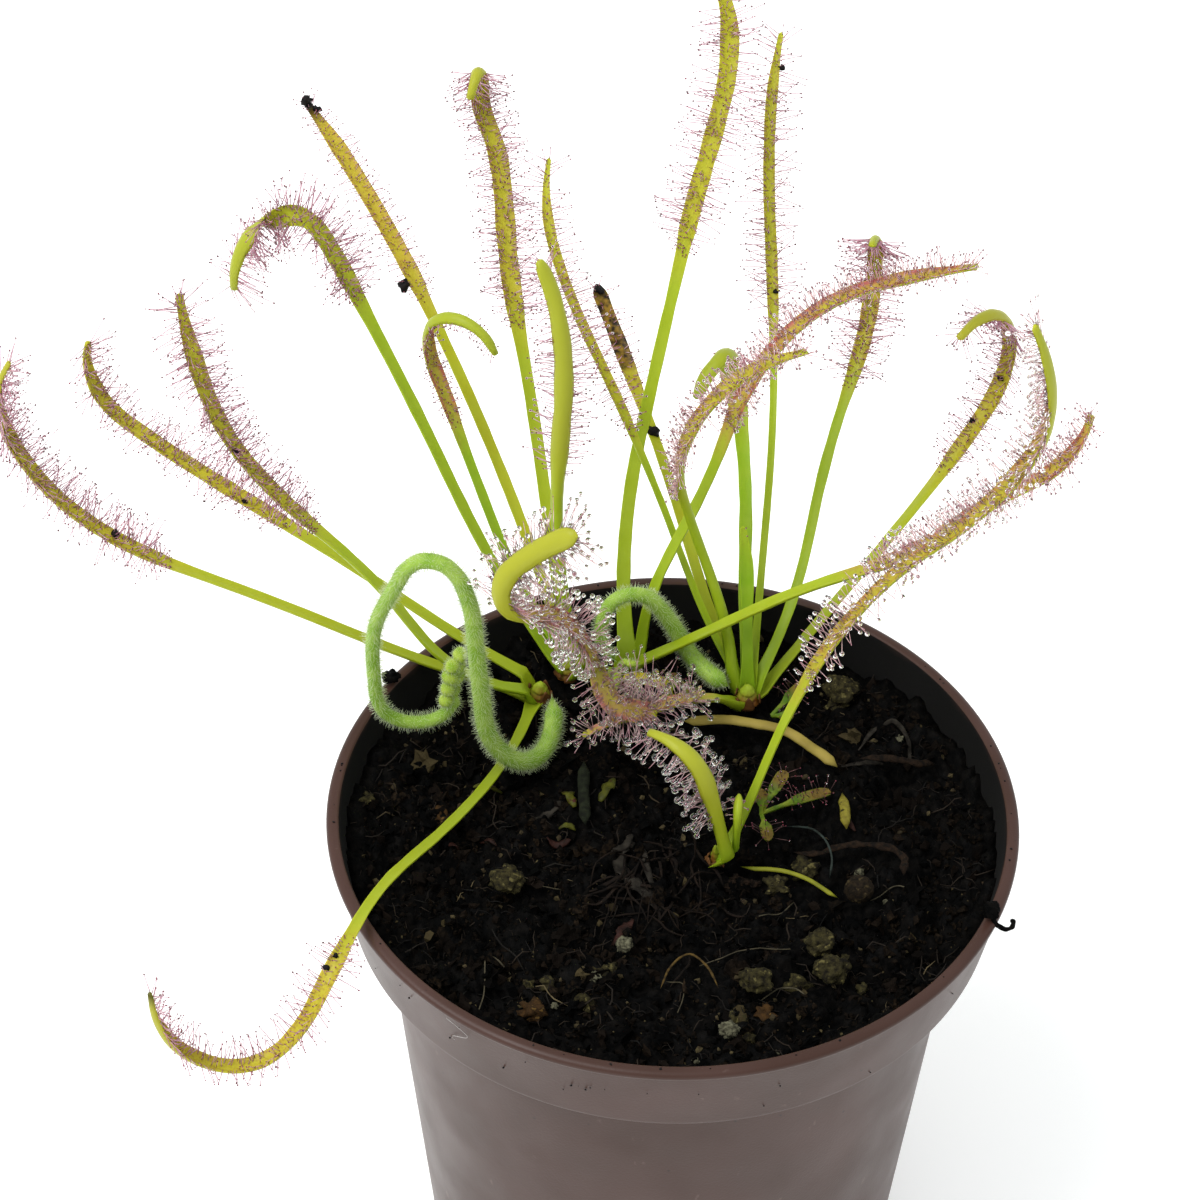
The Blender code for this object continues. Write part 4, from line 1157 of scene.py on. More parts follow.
# %% Tree that grows hairs
def strayed(tree, stray):
    """The way in which a point aims, with a random vector added that is at most this long each way."""
    anyhow = chance(tree, (-1, -1, -1), (1, 1, 1), 3, "FLOAT_VECTOR")
    aside = add(tree, "ShaderNodeVectorMath", {0: anyhow, "Scale": stray}, operation="SCALE").outputs[0]
    return add(tree, "ShaderNodeVectorMath", {0: value_of(tree, "aim", "FLOAT_VECTOR"), 1: aside},
               operation="ADD").outputs[0]


def along_z(tree, aim):
    """The rotation that turns a model's Z axis to an aim."""
    return add(tree, "FunctionNodeAlignRotationToVector", {"Vector": aim}, axis="Z").outputs["Rotation"]


grow_hairs, given, result = new_tree("grow_hairs", {
    "Stalk": "Object", "Gland": "Object", "Drop": "Object", "Spacing": "Float", "Thickness": "Float",
    "Gland Radius": "Float", "Drop Radius": "Float", "Drop Share": "Float", "Stray": "Float",
    "Seed": "Int", "Stalk Finish": "Material", "Gland Finish": "Material", "Drop Finish": "Material"})
top_only = add(grow_hairs, "FunctionNodeCompare", {0: value_of(grow_hairs, "on_top"), 1: 0.55},
               operation="GREATER_THAN", data_type="FLOAT").outputs["Result"]
feet = add(grow_hairs, "GeometryNodeDistributePointsOnFaces",
           {"Mesh": given["Geometry"], "Selection": top_only, "Distance Min": given["Spacing"],
            "Density Max": 8e6, "Density Factor": value_of(grow_hairs, "crowd"), "Seed": given["Seed"]},
           distribute_method="POISSON").outputs["Points"]
aim = add(grow_hairs, "ShaderNodeVectorMath", {0: strayed(grow_hairs, given["Stray"])},
          operation="NORMALIZE").outputs[0]
length = product(grow_hairs, value_of(grow_hairs, "reach"), chance(grow_hairs, 0.7, 1.15, 4))
spin = add(grow_hairs, "ShaderNodeCombineXYZ", {"Z": chance(grow_hairs, 0.0, math.tau, 5)}).outputs[0]
turned = add(grow_hairs, "FunctionNodeRotateRotation",
             {"Rotation": along_z(grow_hairs, aim), "Rotate By": spin},
             rotation_space="LOCAL").outputs["Rotation"]
stalk_size = add(grow_hairs, "ShaderNodeCombineXYZ", {"X": given["Thickness"], "Y": given["Thickness"],
                                                      "Z": product(grow_hairs, length, 1000.0)}).outputs[0]
lift = add(grow_hairs, "ShaderNodeVectorMath", {0: aim, "Scale": length}, operation="SCALE").outputs[0]
tips = add(grow_hairs, "GeometryNodeSetPosition", {"Geometry": feet, "Offset": lift}).outputs[0]
wet = add(grow_hairs, "FunctionNodeCompare", {0: chance(grow_hairs, 0.0, 1.0, 6), 1: given["Drop Share"]},
          operation="LESS_THAN", data_type="FLOAT").outputs["Result"]
grown = add(grow_hairs, "FunctionNodeCompare", {0: value_of(grow_hairs, "reach"), 1: 0.0003},
            operation="GREATER_THAN", data_type="FLOAT").outputs["Result"]
bearing = add(grow_hairs, "FunctionNodeBooleanMath", {0: wet, 1: grown}, operation="AND").outputs[0]
wet_tips = add(grow_hairs, "GeometryNodeSeparateGeometry", {"Geometry": tips, "Selection": bearing},
               domain="POINT").outputs["Selection"]
drop_size = product(grow_hairs, given["Drop Radius"], chance(grow_hairs, 0.75, 1.2, 7))
joined = add(grow_hairs, "GeometryNodeJoinGeometry")
for points, thing, size in ((feet, "Stalk", stalk_size), (tips, "Gland", given["Gland Radius"]),
                            (wet_tips, "Drop", drop_size)):
    copies = copies_on(grow_hairs, points, given[thing], turned, size)
    grow_hairs.links.new(made_real(grow_hairs, copies, given[thing + " Finish"]), joined.inputs["Geometry"])
grow_hairs.links.new(joined.outputs["Geometry"], result["Geometry"])
print("hair tree has", len(grow_hairs.nodes), "nodes")

# %% Finishes of the hairs
def hair_material(name, colour, roughness, size, low, high):
    """A material and its shader, with a colour that wanders between two in patches of a size in mm."""
    made, tree, shader = new_material(name, colour, roughness, ior=1.42)
    paint(tree, shader, mix(tree, blotches(tree, size, 2.0, 0.35, 0.65), low, high))
    return made, shader


hair_stalk, shader = hair_material("hair_stalk", "B88898", 0.4, 1.5, "A06A80", "CFA6B0")
glow(shader, 0.3, (1.0, 0.5, 0.5), 0.3)
pale_stalk, shader = hair_material("dewy_hair_stalk", "D2B2AA", 0.35, 1.5, "B47C86", "DCB8B2")
glow(shader, 0.4, (1.0, 0.6, 0.6), 0.4)
red_stalk, _ = hair_material("red_hair_stalk", "8E3A48", 0.4, 1.5, "341A1C", "5E3E3C")
hair_gland, _ = hair_material("hair_gland", "7C2A3E", 0.25, 1.2, "6A2230", "94485A")
pale_gland, _ = hair_material("dewy_hair_gland", "A06474", 0.25, 1.2, "8A4A5C", "B47C86")
dew, _, shader = new_material("sundew_glue", "FFFFFF", 0.0, ior=1.34)
shader.inputs["Transmission Weight"].default_value = 1.0
print("hair finishes ready")

# %% Grow the hairs
# Drops wider than this many mm get the finer models, pale stalks and glands. Hairs that stand
# closer than this many mm stray further.
DEWY, PALE, CROWDED = 0.43, 0.365, 0.28
hair_count = 0
for i, (name, looks) in enumerate(LEAF_LOOKS.items()):
    spacing, share, drop = looks[4:]
    dewy, pale = drop > DEWY, drop > PALE
    mesh = run_tree(grow_hairs, leaf_meshes[name], name + "_hairs",
                    Stalk=stalk_model if dewy else plain_stalk_model, Gland=gland_model,
                    Drop=drop_model if dewy else small_drop_model, Spacing=spacing * MM,
                    Thickness=0.16, Gland_Radius=0.1 if dewy else 0.13, Drop_Radius=drop / 2,
                    Drop_Share=share, Stray=0.65 if spacing < CROWDED else 0.5, Seed=100 + i,
                    Stalk_Finish=pale_stalk if pale else hair_stalk,
                    Gland_Finish=pale_gland if pale else hair_gland, Drop_Finish=dew)
    place(mesh, mesh.name, "leaf")
    hair_count += triangles(mesh)
print("hairs:", hair_count, "triangles")

# %% [markdown]
# ## Flower stalks
#
# A young flower stalk of this plant is a fat green stem, 2 mm thick, that unrolls as it grows. It
# is white with down: short soft hairs that stand straight off it and catch the light at its
# edges. The stem is swept through the sections of the solid and rounded in both directions.

# %% Sweep a round stem
WRINKLE = 1.5            # size in mm of the wrinkles in a rough skin


def swept(node, name, stout, spacing=0.8, times=2, roughness=0.0):
    """A smooth stem through the sections of a solid, with the way outwards stored on its points.
    Each gap between its corners becomes this many, and stout is its thickness compared to the
    solid's."""
    rings, ends = sections_of(node)
    rings = rings.mean(1, keepdims=True) + (rings - rings.mean(1, keepdims=True)) * stout
    rings = finer(rings, parts_of(rings.mean(1), spacing))
    corners = [np.roll(rings, k, axis=1) for k in (1, 0, -1, -2)]
    rounded_off = [on_curve(*corners, t) for t in np.arange(times) / times]
    rings = np.stack(rounded_off, axis=2).reshape(len(rings), -1, 3)
    count, sides = rings.shape[:2]
    outward = unit(rings - rings.mean(1, keepdims=True))
    flat, out_flat = rings.reshape(-1, 3), outward.reshape(-1, 3)
    if roughness:
        swell = [[roughness * noise.fractal(Vector(p) / WRINKLE, 1.0, 2.0, 3)] for p in flat]
        flat = flat + out_flat * np.array(swell)
    mesh = write(np.concatenate([flat, ends]), band(count, sides) + pointed_ends(count, sides), name)
    outs = np.concatenate([out_flat, unit(ends - rings[[0, -1]].mean(1))])
    store(mesh, "aim", outs, "FLOAT_VECTOR")
    store(mesh, "share", np.concatenate([np.repeat(np.linspace(0, 1, count), sides), [0.0, 1.0]]))
    return mesh


scape_green, tree, shader = new_material("downy_flower_stalk", "86A838", 0.5, ior=1.42, specular=0.25)
paint(tree, shader, mix(tree, blotches(tree, 2.5, 3.0, 0.35, 0.7), "7A9E30", "9CB850"))
glow(shader, 0.25, (1.0, 1.0, 0.4), 0.6)
bump(tree, shader, noise_of(tree, 0.35, 2.0), 0.05)
downy = {}
for node in ("flower_scape_left", "flower_scape_right"):
    downy[node] = swept(node, node + "_stem", 1.18)
    dress(downy[node], scape_green, "flower_stalk", node)
print("flower stalks swept")

# %% Flower buds
# The buds are 3 mm long on the left stalk and half that on the right one. They sit in two rows
# inside the curl, like the leaflets of a fern.
def cluster(node, name, count, bud_length, bud_width, reach=None):
    """Small buds in two rows along a solid, or along the reach from one point to another."""
    cloud = np.array([v.co for v in nodes[node].data.vertices]) / MM
    middle = (cloud.max(0) + cloud.min(0)) / 2
    axes = np.linalg.svd(cloud - cloud.mean(0), full_matrices=False)[2]
    along, aside = Vector(axes[0]), Vector(axes[1])
    if along.z < 0:
        along = -along
    over = along.cross(aside)
    length = ((cloud - middle) @ axes[0]).max()
    if reach:
        foot, top = (Vector(p) for p in reach)
        middle, along, length = (foot + top) / 2, (top - foot).normalized(), (top - foot).length / 2
        over = along.cross(aside).normalized()
        aside = over.cross(along)
    made = bmesh.new()
    for i in range(count):
        share = 2 * i / (count - 1) - 1
        row = 1 if i % 2 else -1
        lean = along * (0.75 - 0.3 * share) + aside * row * 0.75 + over * 0.45 * math.sin(i * 2.1)
        centre = Vector(middle) + along * share * (length - bud_length * 0.45)
        centre = centre + aside * row * bud_width * 0.38
        grown = bud_length * (1.0 - 0.25 * abs(share))
        turn = lean.normalized().to_track_quat("Z", "Y").to_matrix().to_4x4()
        sizes = Matrix.Diagonal((bud_width / 2, bud_width / 2, grown / 2, 1))
        bmesh.ops.create_icosphere(made, subdivisions=3, radius=1.0,
                                   matrix=Matrix.Translation(centre) @ turn @ sizes)
    for vert in made.verts:
        vert.co += vert.co.normalized() * 0.10 * noise.noise(vert.co / 0.6)
    made.normal_update()
    bmesh.ops.scale(made, vec=(MM, MM, MM), verts=made.verts)
    outs = [vert.normal.copy() for vert in made.verts]
    mesh = as_mesh(made, name)
    store(mesh, "aim", outs, "FLOAT_VECTOR")
    return mesh


bud_green, tree, shader = new_material("flower_buds", "A8BE42", 0.5, ior=1.42, specular=0.25)
paint(tree, shader, mix(tree, blotches(tree, 1.2, 3.0, 0.3, 0.7), "86A42C", "B4C650"))
glow(shader, 0.25, (1.0, 1.0, 0.4), 0.5)
for node, *buds in (("flower_buds_left", 9, 3.0, 1.9, ((-30.2, 12.6, 84.4), (-28.6, 13.2, 95.0))),
                    ("flower_buds_right", 5, 1.5, 1.0)):
    downy[node] = cluster(node, node + "_cluster", *buds)
    dress(downy[node], bud_green, "flower_bud", node)
print("flower buds made")

# %% Tree that grows down
grow_down, given, result = new_tree("grow_down", {
    "Hair": "Object", "Spacing": "Float", "Length": "Float", "Thickness": "Float", "Stray": "Float",
    "Seed": "Int", "Finish": "Material"})
feet = add(grow_down, "GeometryNodeDistributePointsOnFaces",
           {"Mesh": given["Geometry"], "Distance Min": given["Spacing"], "Density Max": 3e7,
            "Seed": given["Seed"]}, distribute_method="POISSON").outputs["Points"]
upright = along_z(grow_down, strayed(grow_down, given["Stray"]))
tall = product(grow_down, product(grow_down, given["Length"], chance(grow_down, 0.45, 1.2, 4)), 1000.0)
size = add(grow_down, "ShaderNodeCombineXYZ", {"X": given["Thickness"], "Y": given["Thickness"],
                                               "Z": tall}).outputs[0]
copies = copies_on(grow_down, feet, given["Hair"], upright, size)
grow_down.links.new(made_real(grow_down, copies, given["Finish"]), result["Geometry"])

down_model = hair_model("down_model", 0.5, 0.16, 0.0, pieces=1)
down_white, tree, shader = new_material("white_down", "E6EBDD", 0.6, ior=1.42)
paint(tree, shader, mix(tree, noise_of(tree, 2.0, 1.0), "B4CC72", "DCE8B8"))
glow(shader, 0.5, (1.0, 1.0, 0.9), 0.5)
for i, (node, tall, gap) in enumerate((("flower_scape_left", 0.8, 0.22), ("flower_scape_right", 0.75, 0.22),
                                       ("flower_buds_left", 0.5, 0.2), ("flower_buds_right", 0.45, 0.2))):
    mesh = run_tree(grow_down, downy[node], node + "_down", Hair=down_model, Spacing=gap * MM,
                    Length=tall * MM, Thickness=0.055, Stray=0.55, Seed=200 + i, Finish=down_white)
    place(mesh, mesh.name, "flower_bud" if "buds" in node else "flower_stalk")
    print(mesh.name, triangles(mesh), "triangles")

# %% [markdown]
# ## Crowns
#
# All leaves of a plant leave one short stem. Their bases are wide, pale and clasp each other, and
# the bases of dead leaves stay on as orange-brown scales below. The stub is the solid at half its
# height and drawn in towards its middle, because the leaf bases now cover it; it is green above and
# rusty where it meets the peat. The scales are thin curved strips that hug it.

# %% Thin strips
# The corners of a strip's section: a share of half its width across, and one of its thickness up.
LENS = ((-1, 0), (-0.5, 0.5), (0.5, 0.5), (1, 0), (0.5, -0.5), (-0.5, -0.5))


def strip(line, widths, thickness, up, seed=0.0, waver=0.0):
    """A thin closed strip along a line in mm, lens-shaped across, with its upper side towards up."""
    line, up = [Vector(p) for p in line], Vector(up)
    points = []
    for i, centre in enumerate(line):
        forward = heading_at(line, i)
        side = forward.cross(up).normalized()
        over = side.cross(forward)
        if waver:
            turn = waver * noise.noise(Vector((i * 0.4, seed, 0)))
            side, over = (side * math.cos(turn) + over * math.sin(turn),
                          over * math.cos(turn) - side * math.sin(turn))
        for x, z in LENS:
            points.append(centre + side * x * (widths[i] / 2) + over * z * thickness)
    return points, band(len(line), len(LENS)) + flat_ends(len(line), len(LENS))


def gather(parts, name):
    """One mesh from several lists of points and faces."""
    points, faces = [], []
    for more_points, more_faces in parts:
        start = len(points)
        points += more_points
        faces += [tuple(start + i for i in face) for face in more_faces]
    mesh = write(points, faces, name)
    made = bmesh.new()
    made.from_mesh(mesh)
    bmesh.ops.recalc_face_normals(made, faces=made.faces)
    made.to_mesh(mesh)
    made.free()
    return mesh


sheath, tree, shader = new_material("leaf_sheath", "6E7A1A", 0.55, ior=1.42, specular=0.25)
ragged = between(tree, noise_of(tree, 1.6, 4.0, stretch=(1, 1, 0.4)), 0.3, 0.7, -0.3, 0.3)
rusty = between(tree, product(tree, own(tree, "share"), ragged, "ADD"), 0.9, 0.2)
paint(tree, shader, mix(tree, rusty, "8A9C24", "6E4416"))
bump(tree, shader, noise_of(tree, 0.5, 3.0, stretch=(1, 1, 0.25)), 0.12)
papery, tree, shader = new_material("dry_sheath_scale", "5A3412", 0.6, ior=1.42, specular=0.3)
paint(tree, shader, mix(tree, noise_of(tree, 1.0, 4.0), "2E1C0C", "744A1E"))
bump(tree, shader, noise_of(tree, 0.3, 3.0), 0.08)


def softened(node, name, depth, size):
    """A rounded copy of a solid with a slightly uneven skin."""
    made = merged(node)
    bmesh.ops.subdivide_edges(made, edges=made.edges, cuts=2, use_grid_fill=True, smooth=0.6)
    made.normal_update()
    for vert in made.verts:
        vert.co += vert.normal * MM * depth * noise.noise(vert.co / MM / size)
    return as_mesh(made, name)


print("strips and sheath finishes ready")

# %% Stub and scales of each crown
random.seed(5)
for name in CROWNS:
    low, high = (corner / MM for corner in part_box(name))
    middle = (low + high) / 2
    bare = name == "crown_front"       # it is hardly more than a few leaf bases
    mesh = softened(name, name + "_stub", 0.18, 0.9)
    shares = []
    for vert in mesh.vertices:
        x, y, z = vert.co / MM
        shares.append((z - low.z) / (high.z - low.z))
        shrink = (0.35 if bare else 0.85) * (1 - 0.5 * shares[-1])
        vert.co = Vector((middle.x + (x - middle.x) * shrink, middle.y + (y - middle.y) * shrink,
                          low.z + (z - low.z) * 0.5)) * MM
    store(mesh, "share", shares)
    dress(mesh, sheath, "sheath", name)
    parts = []
    for i in range(5):
        turn = math.radians(72 * i + random.uniform(-14, 14))
        out = Vector((math.cos(turn), math.sin(turn), 0))
        foot = Vector((middle.x, middle.y, low.z + random.uniform(-0.2, 0.7)))
        foot = foot + out * (high.x - low.x) * (0.26 if bare else 0.42)
        tall = 0.6 if bare else random.uniform(1.0, 2.2)
        line = [foot + out * (0.3 * t * t - 0.5 * t + 0.1) + Vector((0, 0, tall * t))
                for t in np.linspace(0, 1, 6)]
        parts.append(strip(line, [1.7, 1.8, 1.6, 1.3, 0.8, 0.25], 0.22, out))
    dress(gather(parts, name + "_scales"), papery, "sheath")
print("crowns dressed")

# %% [markdown]
# ## Seedlings
#
# Sundews drop seed into their own pot. The seedlings' leaves are small spoons with red hairs that
# are long for their size. They follow the headings of the solid's leaves. Their skin is a darker
# green that reddens towards the tip, and their hairs grow from the same tree as those of the big
# leaves.

# %% Grow the seedlings
# Where each stands, and the heading, length and rise of its leaves, in mm and degrees.
SEEDLINGS = {
    "seedling": ((11.6, 5.6), [(18, 9.5, 17), (60, 6.6, 30), (95, 3.2, 70), (-78, 4.8, 8)]),
    "rosette": ((-1.0, 26.0), [(10, 4.2, 12), (80, 3.6, 30), (-60, 3.4, 50), (145, 3.4, 40)]),
    "side_plantlet": ((12.8, 23.6), [(48, 6.8, 20), (-20, 3.0, 25)]),
}


def spoon_lines(centre, heading, length, rise):
    """Lines of a small spoon-shaped leaf, as for strap_lines."""
    count = max(8, round(length * 2))
    heading = math.radians(heading)
    share = np.linspace(0, 1, count)
    dips = np.radians(rise - 15 * share)
    ahead = np.stack([np.cos(dips) * math.cos(heading), np.cos(dips) * math.sin(heading), np.sin(dips)], 1)
    steps = np.cumsum(ahead[1:] * length / (count - 1), axis=0)
    upper = np.array(centre) + np.concatenate([[[0, 0, 0]], steps])
    side = np.tile([math.sin(heading), -math.cos(heading), 0.0], (count, 1))
    swell = smooth_step(share, 0.3, 0.6) * (1 - 0.55 * smooth_step(share, 0.9, 1.0))
    ends = np.array([upper[0] - ahead[0] * 0.1, upper[-1] + ahead[-1] * 0.25])
    return (upper, side, np.cross(side, ahead), 0.5 + 1.2 * swell, 0.1 + 0.15 * swell,
            np.full(count, 0.55), ends)


seedling_leaf, tree, shader = new_material("seedling_leaf", "4E6A14", 0.45, ior=1.42, specular=0.25)
greens = mix(tree, blotches(tree, 1.6, 3.0, 0.35, 0.65), "42600E", "6E7A1C")
reds = product(tree, between(tree, own(tree, "share"), 0.2, 0.6),
               between(tree, own(tree, "on_top"), 0.5, 0.9, 0.1, 0.6))
paint(tree, shader, mix(tree, reds, greens, "6A3420"))
bump(tree, shader, noise_of(tree, 0.5, 3.0), 0.05)
for k, (name, (centre, leaves)) in enumerate(SEEDLINGS.items()):
    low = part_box(name)[0] / MM
    base = (centre[0], centre[1], low.z + 0.9)
    for i, (heading, length, rise) in enumerate(leaves):
        key = f"{name}_leaf_{i + 1}"
        LEAF_LOOKS[key] = (length * 0.6, 0.0, 0.9, 2.2 if length > 4 else 1.4)
        mesh = leaf_mesh(key, spoon_lines(base, heading, length, rise))
        mesh.materials.append(seedling_leaf)
        place(mesh, key, "leaf")
        hairs = run_tree(grow_hairs, mesh, key + "_hairs", Stalk=stalk_model, Gland=gland_model,
                         Drop=small_drop_model, Spacing=0.36 * MM, Thickness=0.14, Gland_Radius=0.11,
                         Drop_Radius=0.17, Drop_Share=0.5, Stray=0.5, Seed=300 + 10 * k + i,
                         Stalk_Finish=red_stalk, Gland_Finish=hair_gland, Drop_Finish=dew)
        place(hairs, hairs.name, "leaf")
    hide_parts(name)
print("seedlings grown")

# %% [markdown]
# ## Litter
#
# Dead leaves, cut stalks and bare roots lie on the peat. Each solid is swept smooth, mostly drawn
# thinner, and given a wrinkled skin. Dead sundew leaf is papery and brown; a stalk that was cut is
# still tan-green and waxy.

# %% Litter on the soil
def litter_material(name, colours, roughness, grain, depth):
    """A matt material mottled in two colours, with blots of a third if there is one."""
    made, tree, shader = new_material(name, colours[0], roughness, specular=0.12)
    colour = mix(tree, blotches(tree, grain, 4.0, 0.35, 0.65), colours[0], colours[1])
    if len(colours) > 2:
        colour = mix(tree, blotches(tree, 0.8, 3.0, 0.60, 0.66), colour, colours[2])
    paint(tree, shader, colour)
    bump(tree, shader, noise_of(tree, grain * 0.4, 4.0), depth)
    return made


waxy_tan = litter_material("waxy_dying_stalk", ("94833F", "7E6F32"), 0.5, 4.0, 0.04)
fresh_yellow = litter_material("yellow_shed_stalk", ("7E7E22", "66691A"), 0.45, 3.0, 0.03)
spotted = litter_material("spotted_dry_stalk", ("7E762A", "665C20", "120E08"), 0.55, 0.6, 0.06)
dead_leaf = litter_material("dead_brown_leaf", ("241910", "0E0A07"), 0.9, 0.7, 0.2)
grey_skin = litter_material("grey_bare_root", ("2E3632", "1A1E1A"), 0.7, 0.8, 0.05)
tan_skin = litter_material("tan_bare_root", ("54421F", "2E2312"), 0.8, 0.8, 0.05)
stem_grey = litter_material("grey_green_dead_stem", ("1E2216", "0E100A"), 0.85, 0.9, 0.08)
for node, finish, slot, roughness, stout in (
        ("cut_leaf_stalk", waxy_tan, "shed_stalk", 0.06, 0.85),
        ("shed_leaf_stalk", fresh_yellow, "shed_stalk", 0.02, 0.65),
        ("dry_spotted_stick", spotted, "shed_stalk", 0.10, 1.0),
        ("dead_leaf_stem", stem_grey, "dead_leaf", 0.12, 0.9),
        ("dead_leaf_right", dead_leaf, "dead_leaf", 0.35, 0.7),
        ("dead_leaf_front", dead_leaf, "dead_leaf", 0.35, 0.65),
        ("grey_root", grey_skin, "root", 0.03, 0.5), ("root_loop", tan_skin, "root", 0.04, 0.5)):
    skin = swept(node, node + "_skin", stout, 0.5, 2 if "root" in node else 3, roughness)
    dress(skin, finish, slot, node)
skin = softened("rim_root_loop", "rim_root_loop_skin", 0.16, 0.7)
skin.transform(Matrix.Translation((-1.3 * MM, 0, 0)))       # a little further to the left
dress(skin, peat, "peat", "rim_root_loop")
print("litter swept")

# %% Stones, perlite and crumbs
def roughened(node, name, depth, size, pores):
    """A stone in the box of a solid, with a rough and perhaps porous face."""
    low, high = (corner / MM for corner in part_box(node))
    middle, half = (low + high) / 2, (high - low) / 2
    made = bmesh.new()
    bmesh.ops.create_icosphere(made, subdivisions=4, radius=1.0)
    for vert in made.verts:
        direction = vert.co.normalized()
        place_in_stone = direction * half.length / 1.7 + middle
        swell = 1 + depth * noise.fractal(place_in_stone / size, 0.7, 2.0, 4)
        swell -= pores * max(0.0, 0.35 - noise.voronoi(place_in_stone / (size * 0.4))[0][0])
        vert.co = (middle + Vector(d * h * 0.97 * swell for d, h in zip(direction, half))) * MM
    return as_mesh(made, name)


pumice = litter_material("yellow_pumice", ("38331C", "120F09", "57502F"), 0.9, 0.7, 0.25)
perlite = litter_material("white_perlite", ("64624E", "2C2A20"), 0.9, 0.5, 0.15)
withered_skin = litter_material("withered_leaf", ("241C11", "0E0A06", "3E3420"), 0.85, 0.5, 0.2)
STONES = (("pumice", "_stone", 0.38, 1.4, 0.12, pumice, "pumice"),
          ("perlite", "_stone", 0.35, 0.7, 0.2, perlite, "perlite"),
          ("rim_crumb", "_peat", 0.35, 0.8, 0.0, peat, "peat"),
          ("withered_leaf_ball", "_curl", 0.08, 0.7, 0.1, withered_skin, "dead_leaf"))
for node in sorted(nodes):
    for beginning, ending, depth, size, pores, finish, slot in STONES:
        if node.startswith(beginning):
            dress(roughened(node, node + ending, depth, size, pores), finish, slot, node)
print("stones dressed")

# %% [markdown]
# ## Loose bits
#
# Between the big pieces lie smaller ones: dead strands under the front plant, torn leaf tips, pale
# fibres, flakes and lumps of pumice. Most are only a line over the soil with a width, so one helper
# lays a smooth line on the ground, and the strips and tubes from before do the rest. The lists of
# places are short because each place is a point on the ground in mm.

# %% Lay a line on the ground
def laid(places, lift, arch, parts=5):
    """A smooth line over the soil through some places, with its middle raised by the arch."""
    stations = np.array([(x, y, 0.0) for x, y in places])
    line = finer(stations, [parts] * (len(stations) - 1))
    ground = np.array([soil_height(x, y) for x, y, _ in line])
    line[:, 2] = np.convolve(np.pad(ground, 2, mode="edge"), np.ones(5) / 5, "valid") + lift
    line[:, 2] += arch * np.sin(np.pi * np.linspace(0, 1, len(line)))
    return line


def tapered(width, count, sharp=0.5):
    """Widths that run out to a tip at both ends."""
    return list(width * (0.15 + 0.85 * np.sin(np.pi * np.linspace(0.04, 0.96, count)) ** sharp))


UP = (0, 0, 1)


def lay_strips(name, finish, rows, thickness, lift, seed, waver, sharp):
    """A piece of thin strips on the ground. A row is a strip's places, its width and its arch."""
    parts = []
    for i, (places, width, arch) in enumerate(rows):
        line = laid(places, lift, arch)
        parts.append(strip(line, tapered(width, len(line), sharp), thickness, UP, i * seed, waver))
    dress(gather(parts, name), finish, "dead_leaf")


print("ground helpers ready")

# %% Dead strands under the front plant
strand_grey = litter_material("grey_dead_strand", ("2E2A24", "14110D"), 0.8, 1.4, 0.08)
strand_dark = litter_material("dark_dead_strand", ("0A0705", "1C140E"), 0.85, 1.0, 0.08)
lay_strips("dead_strands", strand_grey, (
    ([(-5.1, 0.7), (-6.8, -3.5), (-5.2, -7.2), (-3.1, -9.4), (-1.2, -12.1)], 1.9, 0.8),
    ([(-3.8, -0.1), (-3.4, -4.0), (-1.9, -9.3)], 1.0, 1.1),
    ([(-7.7, -2.5), (-6.1, -0.9), (-5.3, 1.6)], 1.2, 0.6),
    ([(-18.3, 2.8), (-16.4, 4.5), (-14.5, 6.3)], 1.5, 0.2),
    ([(27, 22), (29, 24), (31, 21), (31.5, 17.5)], 0.8, 0.8),
    ([(24.5, 18.5), (27.0, 22.6), (30.4, 21.8)], 0.7, 0.7),
    ([(22.2, 15.6), (27.8, 16.4)], 0.8, 0.3)), 0.16, 0.4, 3.1, 1.6, 0.5)

random.seed(9)
parts = []
for i in range(46):
    x, y = random.gauss(-2.5, 3.6), random.gauss(-4.0, 5.0)
    heading = math.radians(random.gauss(-96, 34))
    places = []
    for step in range(4):
        places.append((x, y))
        heading += math.radians(random.uniform(-32, 32))
        reach = random.uniform(1.4, 3.4)
        x, y = x + reach * math.cos(heading), y + reach * math.sin(heading)
    if max(math.hypot(*p) for p in places) > SOIL_RIM - 1:
        continue
    line = laid(places, random.uniform(0.1, 0.8), random.uniform(0.2, 1.6), 4)
    thick = random.uniform(0.09, 0.2)
    if i % 3:
        parts.append(tube(line, tapered(thick, len(line)), 4))
    else:
        parts.append(strip(line, tapered(thick * 3.2, len(line)), 0.08, UP, i * 1.7, 1.0))
dress(gather(parts, "dead_strand_tangle"), strand_dark, "dead_leaf")
print("strands laid")

# %% Torn leaf tips, flakes and pale fibres
torn_leaf = litter_material("torn_leaf_tip", ("4A4A14", "2E3010", "3A1A14"), 0.5, 1.2, 0.06)
lay_strips("torn_leaf_tips", torn_leaf, (
    ([(-12.9, 5.3), (-13.8, 7.2), (-14.2, 9.2)], 1.7, 0.5),
    ([(-9.6, 6.2), (-8.8, 8.4), (-7.9, 10.3)], 1.8, 0.5),
    ([(-14.8, 1.2), (-13.6, 1.6), (-12.7, 1.4)], 0.9, 0.5),
    ([(-26.5, 9.0), (-24.5, 10.2), (-22.8, 10.8)], 1.0, 0.5)), 0.25, 0.6, 2.3, 1.2, 0.8)

